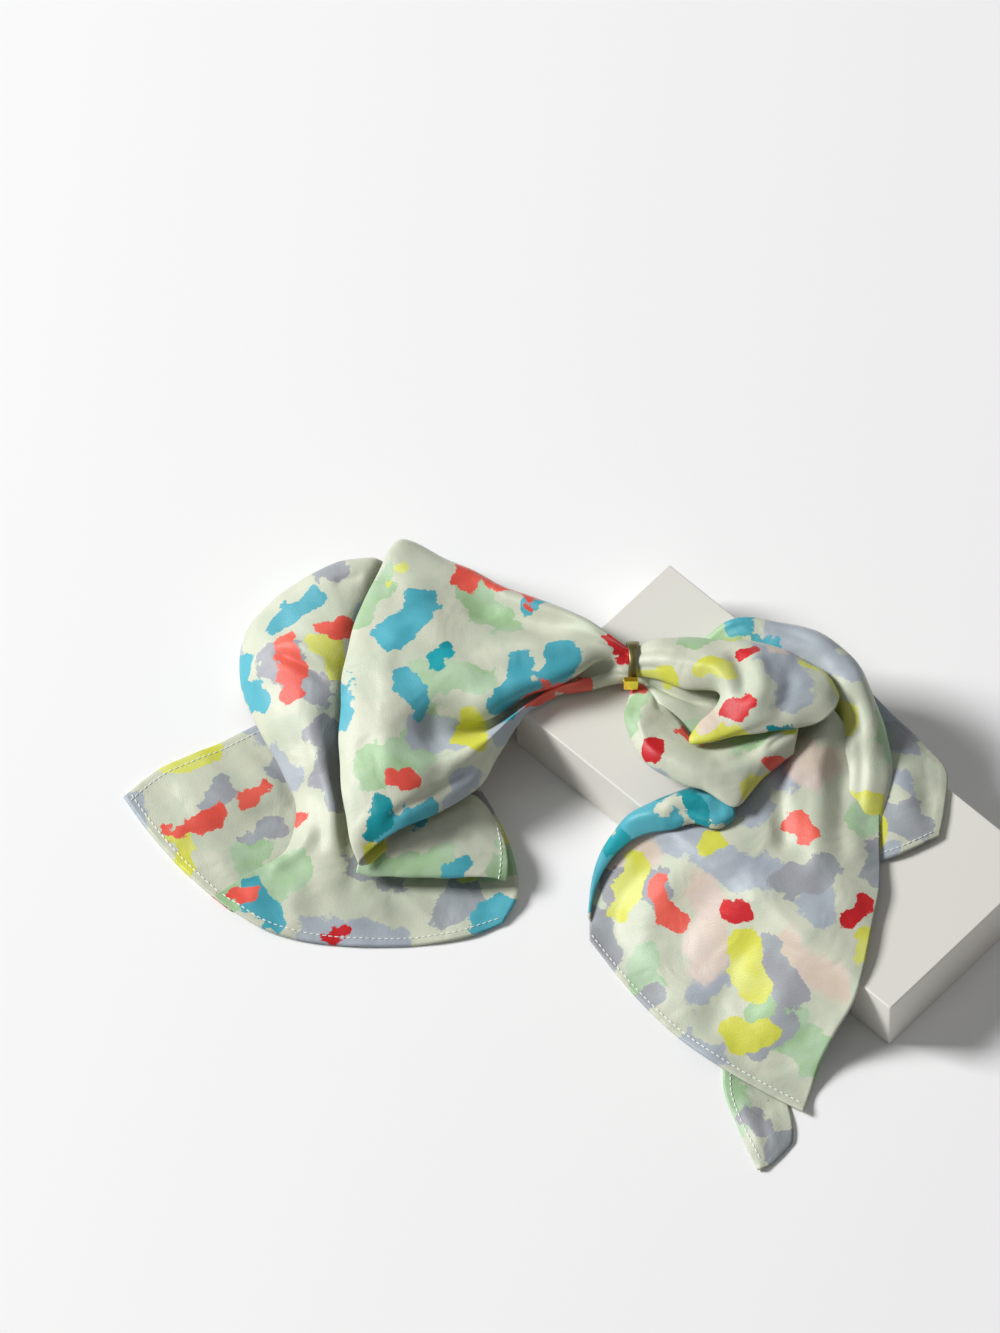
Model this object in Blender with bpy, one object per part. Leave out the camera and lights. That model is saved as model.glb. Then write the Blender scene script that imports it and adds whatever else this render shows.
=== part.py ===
"""Silk square drawn through a metal scarf ring, spread over a flat display box and the floor beside it.

Every stretch of cloth that shows is one thin shell, lofted through a short table of ribs.
Tables are in millimetres, measured from the floor right under the ring.
"""

import bpy
import math
import numpy as np

# ---------------------------------------------------------------- driving sizes, millimetres
WALL = 1.2              # cloth, drawn thicker than real silk so that it is a printable wall
BOX_LONG = 252.0
BOX_SHORT = 112.0
BOX_TALL = 37.0
BOX_CORNER = (-57.0, -17.7)     # the box's left corner
BOX_TURN = -43.0                # degrees, the long side's direction
RING_RADIUS = 10.1
RING_CENTRE = (1.0, 0.0, 48.6)
RING_BAND = 5.0
RING_THICK = 1.0
CLASP = (7.4, 2.6, 8.6)         # the block on the front of the ring: width, depth, height
CLASP_GAP = 0.4                 # between the block and the band
CLASP_OFFSET = (-1.3, 1.0)      # the block's centre from the ring's centre, along x and z
LOW_TOP = 0.5                   # least height of the upper side of cloth that lies on the floor
COLLECTION = "silk_square_scarf"

# ---------------------------------------------------------------- ribs of each stretch of cloth
# One row per rib. Columns are named above each table; each holds (x, y, z).

# left front panel: from its crisp left fold to the neck in the ring
# columns: foot, back, crest, top, roll, edge, hollow, strip, lip, end
LEFT_PANEL = {
    "tuck": [(-104, 83, 3), (-104, 70, 26), (-108, 61, 43), (-112, 44, 41), (-118, 24, 38),
             (-123, 0, 35), (-126, -28, 31), (-126, -55, 27), (-124, -76, 23), (-121, -89, 19.5)],
    "under": [(-112, 86.5, 3), (-112, 73.5, 26), (-114, 66, 44), (-122, 46.5, 41.5),
              (-129, 26, 38.5), (-135, 0.5, 35.5), (-138, -28, 32), (-138, -56.5, 28),
              (-134, -82, 23), (-129, -97, 18.5)],
    "fold": [(-119, 91, 3), (-118, 77.5, 28), (-119, 66.5, 48), (-129, 48, 46), (-136.5, 28, 44),
             (-142.5, 2, 41), (-145, -27, 38), (-144.5, -56, 34), (-140, -84, 28),
             (-134, -101, 21)],
    "crown": [(-110, 93, 3), (-111, 80, 28), (-114, 69, 50), (-121, 46.5, 49), (-127.5, 25, 48.5),
              (-133, -0.5, 47), (-135, -29.5, 45), (-134, -57.5, 41), (-131, -80, 35),
              (-128, -96, 26)],
    "face": [(-98, 87, 3), (-98, 74, 28), (-102.5, 64, 50), (-105, 41, 51), (-109, 14.5, 52),
             (-112, -11, 51), (-114, -35, 48), (-115, -56, 44), (-115.5, -73, 39), (-114, -86, 30)],
    "belly": [(-80, 78, 3), (-80, 64, 28), (-82.5, 54, 50), (-84, 33.5, 49), (-86, 8.5, 53),
              (-89, -17, 52), (-91, -36, 47.5), (-92.5, -51, 43), (-93.5, -63.5, 37),
              (-93, -72.5, 29)],
    "shoulder": [(-62, 67, 3), (-63, 54, 28), (-65, 43, 51), (-65, 28.5, 49), (-66.5, 3, 55),
                 (-70, -24.5, 51), (-71.5, -32, 46), (-73, -42.5, 44), (-74.5, -52.5, 38),
                 (-75, -58, 28)],
    "corner": [(-45, 57, 3), (-46, 46, 28), (-47, 33.5, 53), (-48, 20.5, 51), (-49, 0, 57),
               (-51, -16.5, 52), (-54, -19.5, 47), (-57, -27, 45.5), (-61, -34, 42),
               (-64, -40, 33)],
    "slope": [(-31, 45, 20), (-30, 38, 34), (-29, 26.5, 55), (-30, 16.5, 54), (-30, 2.5, 58),
              (-32, -9, 53), (-34, -10.5, 49), (-38.5, -13, 47), (-43.5, -17, 43.5),
              (-45.5, -17.5, 40)],
    "throat": [(-15, 20, 43), (-15, 19.5, 48), (-14.5, 16, 55), (-15, 11, 56), (-15, 6, 57),
               (-13.5, 2, 54), (-14, 0.5, 50), (-16.5, -5, 47), (-19, -9, 44), (-20, -9.5, 40.5)],
    "neck": [(-3, 6.5, 42), (-3, 7.5, 48), (-3, 4.2, 54.5), (-3, 1, 55.5), (-3, -2, 54.5),
             (-4, -5.5, 51.5), (-4, -6.2, 49.5), (-4, -7, 47), (-4, -7.2, 44.5), (-4, -6.2, 42)],
}

# left body: the shoulder behind the panel, running on under it and out to the front hem
# columns: foot, under, edge, s1, s2, s3, s4, in, rim, curl
LEFT_BODY = {
    "floor": [(-160, 60, 3), (-163, 64, 2.5), (-164, 68, 2.5), (-156, 74, 2.5), (-147, 79, 2.5),
              (-137, 81, 2.5), (-127, 81, 2.5), (-121, 80, 2.5), (-117, 78, 3), (-113, 74, 4)],
    "back": [(-160, 52, 6), (-163, 56, 10), (-165, 61, 17), (-157, 67, 19), (-148, 71, 21),
             (-138, 73, 22), (-128, 72.5, 23), (-122, 71, 23), (-118, 69, 22), (-114, 64, 20)],
    "crest": [(-160, 46, 6), (-164, 50, 16), (-164.5, 56, 31), (-157, 60, 35), (-148, 63, 39),
              (-138, 63.5, 42), (-129, 63, 43), (-124, 60, 40), (-119, 55, 35), (-114, 48, 28)],
    "top": [(-172, 40, 4), (-179, 43, 12), (-182, 47, 25), (-171, 46, 33), (-159, 44.5, 38),
            (-147, 43.5, 41), (-137, 42, 41), (-129, 40.5, 36), (-120, 40, 31), (-112, 38, 24)],
    "upper": [(-191, 24, 3), (-193.5, 25, 9), (-193.5, 27, 18), (-184, 23, 27), (-171.5, 20, 33),
              (-159, 18, 36), (-148, 17, 36), (-139, 16, 32), (-126, 15, 25), (-112, 14, 16)],
    "middle": [(-189.5, -1, 6), (-191, -0.5, 9), (-190, 0, 12.5), (-181, -4, 21),
               (-169.5, -7.5, 27), (-157.5, -10, 30), (-148, -11, 28.5), (-140, -12, 22),
               (-124, -11, 15), (-106, -10, 8)],
    "waist": [(-177.5, -28.5, 6), (-178, -28, 8.5), (-176.5, -28, 11.5), (-170, -31.5, 18),
              (-162, -34.5, 23), (-154, -36, 24), (-147, -37, 20), (-139, -37, 14), (-115, -34, 8),
              (-86, -28, 4)],
    "fade": [(-166.5, -56, 5.8), (-166, -55.5, 8), (-164, -55, 10.5), (-159, -57, 14),
             (-154, -59, 17), (-148.5, -60.5, 18), (-143, -61, 14.5), (-134, -60, 9.5),
             (-108, -54, 5), (-74.5, -46.5, 3)],
    "hollow": [(-171, -80.5, 3.4), (-168, -78.5, 4.4), (-164.5, -76.5, 6.2), (-159.5, -77.5, 9.5),
               (-153.5, -79, 12), (-147, -80, 12), (-139, -80, 9), (-128, -79, 6), (-98, -75, 3.5),
               (-62.5, -71.5, 3.8)],
    "valley": [(-190, -94.5, 3.6), (-185, -93.5, 3.8), (-180, -92.5, 4.2), (-167.5, -94, 5.5),
               (-155, -94.5, 6.5), (-144, -95.5, 6.5), (-130, -96, 5.2), (-112, -95, 3.6),
               (-86, -93, 3), (-57, -91.5, 4.5)],
    "apron": [(-203, -104, 3), (-197.5, -104.5, 3), (-192, -104.5, 3.2), (-177, -109.5, 4),
              (-161, -113.5, 4.2), (-142.5, -115.5, 3.6), (-122.5, -116, 3), (-106, -115, 2.4),
              (-84, -112, 2.2), (-56, -107.5, 4.8)],
    "hem": [(-208, -106, 3), (-204.5, -109.5, 3), (-200.5, -113, 3), (-184, -124.5, 2.8),
            (-165, -131, 2), (-142.5, -134, 1.2), (-117.5, -134.5, 1.2), (-100, -133, 1.2),
            (-80, -129, 1.2), (-63.5, -121.5, 2)],
}

# left tail: the loose corner on the floor. Rows follow its two hems.
# columns: hem, t1, t2, t3, t4, t5, end
LEFT_TAIL = {
    "upper_hem": [(-252.5, -49.5, 1), (-237, -35, 1.2), (-221.5, -27, 1.6), (-205, -19, 2),
                  (-190, -10.5, 2), (-176, -3.5, 1.4), (-165, 2, 1)],
    "upper": [(-237.5, -72.5, 1.2), (-222, -60, 3.4), (-206, -51, 4), (-190, -42.5, 3.2),
              (-176, -35, 2), (-165, -31, 1), (-156, -27, 1)],
    "lower": [(-220, -94, 1.2), (-207, -84, 2.6), (-193.5, -74.5, 2.2), (-181, -65.5, 1.6),
              (-171, -61, 1.1), (-162.5, -58, 1), (-155, -56, 1)],
    "lower_hem": [(-199, -114, 0.8), (-187, -109, 0.8), (-177, -101, 0.8), (-168, -93, 0.8),
                  (-161, -87, 0.8), (-155, -81, 0.8), (-150, -77, 0.8)],
}

# left middle fold: the pleat between the body and the front panel
# columns: under_end, under, ridge, crown, back, end
LEFT_MIDDLE = {
    "nose": [(-122, -84, 8), (-123, -94, 8.5), (-126, -101.5, 11.5), (-127, -98.5, 14),
             (-124, -91, 14.5), (-120, -82, 14.5)],
    "left": [(-112, -80, 10.5), (-113, -93, 11), (-115, -102, 13.5), (-114, -95, 18),
             (-110, -84.5, 20), (-106, -70, 20)],
    "middle": [(-96, -76, 9), (-98, -92, 9.5), (-100, -101.5, 13), (-99, -91.5, 18), (-96, -76, 20),
               (-92, -61, 19)],
    "right": [(-82, -74, 8), (-83, -90, 9), (-85, -102.5, 14), (-84, -90, 18), (-82, -70, 18.5),
              (-80, -56, 16)],
    "rim": [(-72, -78, 8), (-71, -90, 9), (-71, -103, 14), (-70, -90, 16), (-71, -73, 14.5),
            (-73, -60, 12)],
    "loop": [(-67, -87, 7.5), (-65, -94, 8), (-62, -103, 11), (-61, -95, 14), (-63, -82, 13),
             (-66, -72, 11)],
}

# right lobe: the big loop that rises out of the ring
# columns: back, rim, b1, crown, f1, lip, tuck
RIGHT_LOBE = {
    "neck": [(5, 6.5, 49), (5, 4, 54), (5, 0.5, 55.5), (5, -3, 55.5), (5, -5.5, 53.5),
             (5, -7, 50.5), (5, -5.5, 48)],
    "swell": [(13, 10, 49), (13.5, 7, 57), (14.5, 1, 60.5), (15, -5, 62), (16, -9.5, 60),
              (16.5, -12.5, 55), (14, -9, 51)],
    "rise": [(24, 13, 48), (23.5, 9.5, 58), (25, 0, 64), (26.5, -8, 66.5), (28, -15, 64),
             (29, -20, 58), (28, -14, 54)],
    "lip": [(34, 12, 49), (33.5, 9.5, 58), (36.5, -2, 66), (39, -12, 70), (42, -19, 67),
            (43.5, -23.5, 60), (42, -18, 56)],
    "turn": [(46, 11, 48), (46, 7.5, 59), (48.5, -5.5, 67), (49, -19.5, 71), (46, -30, 67),
             (40, -33, 60), (45, -31, 56)],
    "curl": [(60, 10, 48), (59, 6.5, 60), (61, -10, 69), (59, -27.5, 72), (49, -38.5, 67),
             (33.5, -41, 60), (40, -40, 56)],
    "front": [(73, 5, 48), (72.5, 2, 61), (73.5, -15.5, 69), (68, -34, 71), (52.5, -47, 66),
              (30, -51, 58.5), (36, -48, 55.5)],
    "ridge": [(84, -4, 48), (85, -5, 62), (85.5, -21, 68), (78, -37, 69), (66, -45, 66),
              (50, -50, 61.5), (47, -43, 59)],
    "flank": [(93, -13, 49), (96.5, -12.5, 62), (96, -27, 67), (88, -38, 67.5), (78, -44.5, 65),
              (66, -47, 62), (62, -41, 59)],
    "end": [(98, -24, 50), (103, -24, 60), (102, -33, 64), (97, -40, 64.5), (90, -43.5, 63),
            (83, -43, 61), (79, -38, 58.5)],
}

# right back band: the layer behind the lobe, from the ring side round to the front tail
# columns: inner, inner_edge, ridge, outer, low, foot
RIGHT_BAND = {
    "start": [(41, 16, 50.5), (38, 16, 54), (35.5, 17.5, 56), (34.5, 20, 54), (34, 21.5, 46),
              (34, 21, 39.5)],
    "rise": [(53, 17, 51), (52, 16, 57), (51, 17, 59.5), (50, 19, 58), (50, 22, 48), (51, 20, 39.5)],
    "back": [(68, 15, 51), (66.5, 13, 58), (64.5, 14, 62.5), (63, 20, 60), (63.5, 24, 49), (64, 21, 39.5)],
    "bend": [(86, 7, 52), (85, 4, 60), (86, 7, 64), (87, 15, 62), (89, 20, 50), (92, 17, 32)],
    "corner": [(103, -8, 52), (102, -7, 60), (105, -5, 63), (109.5, 1, 61), (113, 2, 49), (115, -1, 30)],
    "side": [(108.5, -27, 51), (109.5, -23.5, 57.5), (113, -20, 61), (119, -13, 58),
             (120.5, -14, 48), (121.5, -18, 34)],
    "flank": [(109.5, -38, 48.5), (111, -35, 54.5), (116, -31, 58), (123, -26.5, 55),
              (124.5, -28, 46), (125.5, -30, 39.3)],
    "slope": [(110, -48, 46.5), (112.5, -46.5, 52), (118, -43.5, 55), (126, -39.5, 51),
              (127.5, -41, 44), (128, -43, 39.5)],
    "merge": [(110, -60, 48), (112.5, -58, 49.5), (119, -56, 51.5), (128, -53, 48),
              (129.5, -54, 43), (130, -55, 39.5)],
    "end": [(110, -73, 48), (113.5, -71, 48.5), (120, -69, 48.8), (128, -67, 46.5),
            (130.3, -67, 42.5), (130.5, -67, 39.5)],
}

# right inner roll: rolls out of the ring under the lobe and runs on as the fold towards the right
# columns: inside, edge, crown, low, under
RIGHT_ROLL = {
    "neck": [(7.5, 1, 44.5), (7.5, -4, 46), (7.5, -8.5, 44.5), (8, -10, 42.5), (9, -7, 40)],
    "start": [(13, -12, 46), (9, -16.5, 48), (4, -20.5, 46.5), (-2.5, -19, 43), (1, -15, 39.2)],
    "swell": [(16.5, -24, 49), (7.5, -31, 54), (2, -33.5, 54), (-3.5, -30.5, 47), (-1, -25, 40)],
    "bend": [(24, -33, 50), (11, -47, 56), (6.5, -50.5, 56), (2, -50, 49), (5, -42, 40.5)],
    "turn": [(29, -42.5, 51), (19, -54, 57), (15.5, -59.5, 57), (11.5, -62, 50), (15, -54.5, 41.5)],
    "run": [(35, -47, 52), (32.5, -59.5, 57.5), (29, -66.5, 57.5), (25.5, -71, 51), (28, -62.5, 45)],
    "cone": [(42.5, -47, 52), (43, -60, 57.5), (40, -69.5, 57.5), (37, -74.5, 53), (40, -67, 48.5)],
    "tip": [(52.5, -44, 53), (53, -55, 58), (53, -69, 57), (50.5, -84.5, 52), (52.5, -76.5, 49)],
    "fold": [(62.5, -40, 53), (63.5, -50, 58), (62, -60.5, 57), (59, -75.5, 51.5), (61, -68.5, 47)],
    "far": [(71.5, -37.5, 53), (72.5, -46, 57.5), (70, -54.5, 56.5), (67, -64.5, 52), (68.5, -58, 48)],
    "end": [(81.5, -36, 53), (82.5, -42, 56.5), (81, -47, 56), (79.5, -53.5, 53), (80, -48.5, 50)],
}

# right leaf: the narrow roll at the front tail's upper edge
# columns: back, outline, crown, ridge, under
RIGHT_LEAF = {
    "mouth": [(44, -70, 42), (46, -74, 44.5), (48.5, -80, 46), (51, -87, 46), (48.5, -84.5, 42.2)],
    "root": [(33, -66, 41.5), (34, -70, 44.5), (37, -80, 47.5), (40, -91, 47), (38, -87.5, 43.4)],
    "run": [(23, -69, 42), (22, -72.5, 45.5), (25, -82, 49), (28.5, -93, 46.5), (27, -89, 43.6)],
    "bend": [(13, -73, 41), (11, -76, 44.5), (13, -83, 48), (17, -91.5, 45), (16, -88, 42)],
    "drop": [(3, -76, 37.5), (0, -79.5, 40), (3, -86, 43), (7, -94, 39.5), (7.5, -91.5, 36.5)],
    "tip": [(-4, -83.5, 29), (-8, -86, 29.5), (-5, -91, 33), (-1, -95.5, 30.5), (0, -93.5, 28)],
}

# right front tail, in the box's own directions: d is how far past the box's front edge, s is along it
# columns: d, s of the left edge, s of the right edge, then heights at five stations from left to right
RIGHT_TAIL = {
    "top": (-86, 150, 168, 45, 45, 43.5, 42.5, 41.5),
    "fold": (-74, 141, 176, 46, 48.5, 45.5, 43, 41.5),
    "lip": (-60, 133, 190, 45, 49, 46.5, 44, 41.5),
    "valley": (-45, 131, 203, 44, 47, 46.5, 46, 42),
    "panel": (-30, 130, 213, 43.5, 45, 45.5, 45, 41.5),
    "fall": (-16, 121, 222, 41.6, 44, 44.5, 44, 41),
    "brink": (-5, 106, 229, 40.4, 43, 43.5, 42.8, 40),
    "edge": (3, 93, 233, 38, 40.5, 40.5, 40, 37.8),
    "drop": (10, 85, 234, 29, 32.5, 32.5, 32, 28),
    "sweep": (20, 80, 234, 17, 21.5, 21.5, 21, 17),
    "foot": (32, 84, 236, 8, 11.5, 12, 11, 7.5),
    "floor": (46, 93, 242, 3, 5, 5.5, 4.5, 2.4),
    "hem": (58, 104, 248, 1.2, 1.2, 2.2, 3.5, 3.6),
}
TAIL_BOW = 11.0         # how far the hem bows out at its middle
TAIL_BOW_FROM = 20.0    # distance past the box's edge at which the bow starts
TAIL_BOW_OVER = 38.0    # and the distance over which it grows to the whole

# right tip: the corner folded under the hem, on the floor
# columns: left, t1, t2, right
RIGHT_TIP = {
    "under": [(47, -202, 0.7), (57, -208, 0.7), (68, -215, 0.7), (78, -222, 0.7)],
    "hem": [(47, -219, 0.8), (58, -226, 0.9), (70, -232, 1.0), (81, -236, 0.8)],
    "middle": [(52, -235, 1.0), (60, -239, 2.2), (69, -243, 2.6), (81, -246, 1.2)],
    "low": [(57.5, -250, 1.0), (63, -251, 2.0), (69, -252, 2.2), (80, -254, 1.2)],
    "corner": [(64, -261, 1.0), (67, -261, 1.4), (70, -261, 1.4), (74, -259, 1.2)],
}

# right rear tail: the other loose corner, on the box behind the band
# columns: inside, r1, r2, hem
REAR_TAIL = {
    "upper_hem": [(132.5, -26, 38.6), (137, -31.5, 38.8), (146, -41, 38.8), (153, -49.5, 38.6)],
    "upper": [(132.5, -44, 41), (139, -47, 42), (148, -53, 41.2), (157, -59, 39.2)],
    "lower": [(132.5, -70, 40.6), (139.5, -71, 42), (147.5, -73, 41.3), (155.5, -76, 39.2)],
    "lower_hem": [(121, -108, 39.4), (131, -105, 39.5), (142, -99, 39.4), (152.5, -93, 39)],
}


# how each stretch is lofted: its table, ribs across, points along each rib, and
# which way its outer side faces against the grid's own direction
STRETCHES = {
    "left_front_panel": (LEFT_PANEL, 23, 20, -1.0),
    "left_body": (LEFT_BODY, 23, 18, -1.0),
    "left_tail": (LEFT_TAIL, 8, 13, -1.0),
    "left_middle_fold": (LEFT_MIDDLE, 11, 13, 1.0),
    "right_lobe": (RIGHT_LOBE, 17, 14, -1.0),
    "right_back_band": (RIGHT_BAND, 17, 12, 1.0),
    "right_inner_roll": (RIGHT_ROLL, 20, 13, -1.0),
    "right_leaf": (RIGHT_LEAF, 11, 12, -1.0),
    "right_tip": (RIGHT_TIP, 9, 8, 1.0),
    "right_rear_tail": (REAR_TAIL, 8, 8, 1.0),
}
TAIL_GRID = (22, 14)    # ribs and points of the front tail

# hidden layers: one rounded solid for each half
# columns: centre x, centre y, half width x, half width y, turn in degrees, low z, high z
HIDDEN = {
    "left_hidden_layers": (-92, 0, 17, 40, 8, 9, 43),
    "right_hidden_layers": (66, -14, 24, 13, -20, 38, 57),
}
# share of the height, and share of the width there
HIDDEN_PROFILE = [(0.0, 0.86), (0.3, 1.0), (0.6, 0.94), (0.85, 0.72), (0.96, 0.42)]
HIDDEN_SIDES = 20
RING_SIDES = 40

# silk, gold-coloured metal and wrapped card: colour, roughness, metallic
FINISHES = {
    "silk": ((0.69, 0.75, 0.62), 0.45, 0.0),
    "gold_metal": ((0.72, 0.50, 0.12), 0.25, 1.0),
    "box_card": ((0.74, 0.74, 0.71), 0.5, 0.0),
}


# ---------------------------------------------------------------- helpers
def clear_scene():
    for obj in list(bpy.data.objects):
        bpy.data.objects.remove(obj, do_unlink=True)


def smooth(points, count):
    """Points on a smooth curve through the given ones, along the first axis, spread evenly by rib."""
    pts = np.asarray(points, float)
    ends = np.concatenate([2 * pts[:1] - pts[1:2], pts, 2 * pts[-1:] - pts[-2:-1]])
    where = np.linspace(0, len(pts) - 1, count)
    left = np.clip(where.astype(int), 0, len(pts) - 2)
    shape = (-1,) + (1,) * (pts.ndim - 1)
    t = (where - left).reshape(shape)
    a, b, c, d = (ends[left + k] for k in range(4))
    square = (2 * a - 5 * b + 4 * c - d) * t ** 2
    cube = (3 * b - a - 3 * c + d) * t ** 3
    return 0.5 * (2 * b + (c - a) * t + square + cube)


def surface(table, across, along):
    """Grid of points through a table of ribs: `across` ribs by `along` points on each."""
    ribs = np.array([list(row) for row in table.values()], float)
    grid = smooth(ribs, across)
    return np.swapaxes(smooth(np.swapaxes(grid, 0, 1), along), 0, 1)


def normals(grid):
    du = np.gradient(grid, axis=0)
    dv = np.gradient(grid, axis=1)
    n = np.cross(du, dv)
    return n / np.maximum(np.linalg.norm(n, axis=2, keepdims=True), 1e-9)


def material(name):
    colour, roughness, metallic = FINISHES[name]
    mat = bpy.data.materials.new(name)
    mat.use_nodes = True
    shader = mat.node_tree.nodes["Principled BSDF"]
    shader.inputs["Base Color"].default_value = (*colour, 1.0)
    shader.inputs["Roughness"].default_value = roughness
    shader.inputs["Metallic"].default_value = metallic
    return mat


def add_object(name, points, faces, mat, home):
    mesh = bpy.data.meshes.new(name)
    mesh.from_pydata([tuple(p) for p in points], [], faces)
    mesh.materials.append(mat)
    mesh.update()
    obj = bpy.data.objects.new(name, mesh)
    home.objects.link(obj)
    return obj


def skin(top, bottom):
    """Points and faces of the closed body between two grids; `top` is the outer side."""
    nu, nv = top.shape[:2]
    index = np.arange(nu * nv).reshape(nu, nv)
    under = index + nu * nv
    faces = []
    for i in range(nu - 1):
        for j in range(nv - 1):
            faces.append((index[i, j], index[i + 1, j], index[i + 1, j + 1], index[i, j + 1]))
            faces.append((under[i, j], under[i, j + 1], under[i + 1, j + 1], under[i + 1, j]))
    loop = [(i, 0) for i in range(nu)] + [(nu - 1, j) for j in range(1, nv)]
    loop += [(i, nv - 1) for i in range(nu - 2, -1, -1)] + [(0, j) for j in range(nv - 2, 0, -1)]
    for k, here in enumerate(loop):
        there = loop[(k + 1) % len(loop)]
        faces.append((index[there], index[here], under[here], under[there]))
    points = np.concatenate([top.reshape(-1, 3), bottom.reshape(-1, 3)])
    return points, [tuple(int(i) for i in face) for face in faces]


def shell(name, grid, mat, home, up=1.0, wall=WALL):
    """A wall of cloth centred on a grid of points, its underside flat where it meets the floor."""
    n = normals(grid) * up
    if up < 0:
        grid = grid[::-1]
        n = n[::-1]
    top = grid + n * wall / 2
    bottom = grid - n * wall / 2
    bottom[..., 2] = np.maximum(bottom[..., 2], 0.0)
    top[..., 2] = np.maximum(top[..., 2], LOW_TOP)
    points, faces = skin(top, bottom)
    return add_object(name, points, faces, mat, home)


def box_frame():
    turn = math.radians(BOX_TURN)
    long_way = np.array([math.cos(turn), math.sin(turn)])
    short_way = np.array([-math.sin(turn), math.cos(turn)])
    return np.array(BOX_CORNER), long_way, short_way


def tail_grid(across, along):
    """The front tail from its table of sections, bowed at the hem."""
    rows = smooth([row for row in RIGHT_TAIL.values()], across)
    corner, long_way, short_way = box_frame()
    t = np.linspace(0, 1, along)
    grid = np.empty((across, along, 3))
    for i, row in enumerate(rows):
        past, left, right = row[:3]
        s = left + (right - left) * t
        heights = smooth(row[3:], along)
        bow = TAIL_BOW * np.sin(np.pi * t) * max(0.0, (past - TAIL_BOW_FROM) / TAIL_BOW_OVER)
        plan = corner + np.outer(s, long_way) - np.outer(past + bow, short_way)
        grid[i, :, :2] = plan
        grid[i, :, 2] = heights
    return grid


def mound(name, mat, home):
    """A closed rounded body, from its row of the table of hidden layers."""
    x, y, wide, deep, turn, low, high = HIDDEN[name]
    angle = math.radians(turn)
    sides = HIDDEN_SIDES
    points = []
    for level, spread in HIDDEN_PROFILE:
        for k in range(sides):
            a = 2 * math.pi * k / sides
            px = wide * spread * math.cos(a)
            py = deep * spread * math.sin(a)
            points.append((x + px * math.cos(angle) - py * math.sin(angle),
                           y + px * math.sin(angle) + py * math.cos(angle),
                           low + (high - low) * level))
    points.append((x, y, low))
    points.append((x, y, high))
    faces = []
    for r in range(len(HIDDEN_PROFILE) - 1):
        for k in range(sides):
            n = (k + 1) % sides
            faces.append((r * sides + k, r * sides + n, (r + 1) * sides + n, (r + 1) * sides + k))
    last = (len(HIDDEN_PROFILE) - 1) * sides
    for k in range(sides):
        n = (k + 1) % sides
        faces.append((n, k, len(points) - 2))
        faces.append((last + k, last + n, len(points) - 1))
    return add_object(name, np.array(points), faces, mat, home)


def prism(name, plan, low, high, mat, home):
    """A closed block: four plan corners, anticlockwise from above, between two heights."""
    points = np.array([(*p, z) for z in (low, high) for p in plan])
    faces = [(3, 2, 1, 0), (4, 5, 6, 7), (0, 1, 5, 4), (1, 2, 6, 5), (2, 3, 7, 6), (3, 0, 4, 7)]
    return add_object(name, points, faces, mat, home)


def ring_clasp(name, mat, home):
    """The block on the front of the ring."""
    wide, deep, tall = CLASP
    x = RING_CENTRE[0] + CLASP_OFFSET[0]
    y = RING_CENTRE[1] - RING_RADIUS - RING_THICK - CLASP_GAP
    z = RING_CENTRE[2] + CLASP_OFFSET[1]
    plan = [(x - wide / 2, y - deep), (x + wide / 2, y - deep), (x + wide / 2, y), (x - wide / 2, y)]
    return prism(name, plan, z - tall / 2, z + tall / 2, mat, home)


def display_box(name, mat, home):
    """The closed gift box that the right half lies on."""
    corner, long_way, short_way = box_frame()
    plan = [corner, corner + long_way * BOX_LONG, corner + long_way * BOX_LONG + short_way * BOX_SHORT,
            corner + short_way * BOX_SHORT]
    return prism(name, plan, 0.0, BOX_TALL, mat, home)


def ring_band(name, mat, home):
    """A flat metal band bent into a loop round the neck of the scarf."""
    sides = RING_SIDES
    points = []
    for k in range(sides):
        a = 2 * math.pi * k / sides
        for out in (0.0, RING_THICK):
            for way in (-0.5, 0.5):
                r = RING_RADIUS + out
                points.append((RING_CENTRE[0] + way * RING_BAND, RING_CENTRE[1] + r * math.cos(a),
                               RING_CENTRE[2] + r * math.sin(a)))
    faces = []
    for k in range(sides):
        a, b = 4 * k, 4 * ((k + 1) % sides)
        faces.append((a + 1, b + 1, b, a))
        faces.append((a + 3, b + 3, b + 1, a + 1))
        faces.append((a + 2, b + 2, b + 3, a + 3))
        faces.append((a, b, b + 2, a + 2))
    return add_object(name, np.array(points), faces, mat, home)


def build():
    clear_scene()
    home = bpy.data.collections.new(COLLECTION)
    bpy.context.scene.collection.children.link(home)
    silk = material("silk")
    gold = material("gold_metal")
    card = material("box_card")
    made = []
    for name, (table, across, along, up) in STRETCHES.items():
        made.append(shell(name, surface(table, across, along), silk, home, up))
    made.append(shell("right_front_tail", tail_grid(*TAIL_GRID), silk, home))
    for name in HIDDEN:
        made.append(mound(name, silk, home))
    made.append(ring_band("ring_band", gold, home))
    made.append(ring_clasp("ring_clasp", gold, home))
    made.append(display_box("display_box", card, home))
    settle(made)


def settle(made):
    """Centres the whole part's bounds on the origin, standing on the floor, and turns mm into metres."""
    every = np.concatenate([[v.co[:] for v in obj.data.vertices] for obj in made])
    low, high = every.min(axis=0), every.max(axis=0)
    shift = np.array([(low[0] + high[0]) / 2, (low[1] + high[1]) / 2, low[2]])
    for obj in made:
        for v in obj.data.vertices:
            v.co = [(c - s) * 0.001 for c, s in zip(v.co, shift)]
        obj.data.update()


build()
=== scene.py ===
# %% [markdown]
# # A printed silk square drawn through a metal ring
# The real object is one square of printed silk, hemmed by machine on all four sides and pulled
# through a small metal scarf ring. One half lies heaped on the floor, the other on a slim gift box.
# This lesson builds each stretch of cloth that shows as a thin shell worked out with numpy, then
# the ring, the box and a plain studio. The CAD frame gives every place, so it is loaded first.

# %% Load the frame and keep its box
import math

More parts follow.
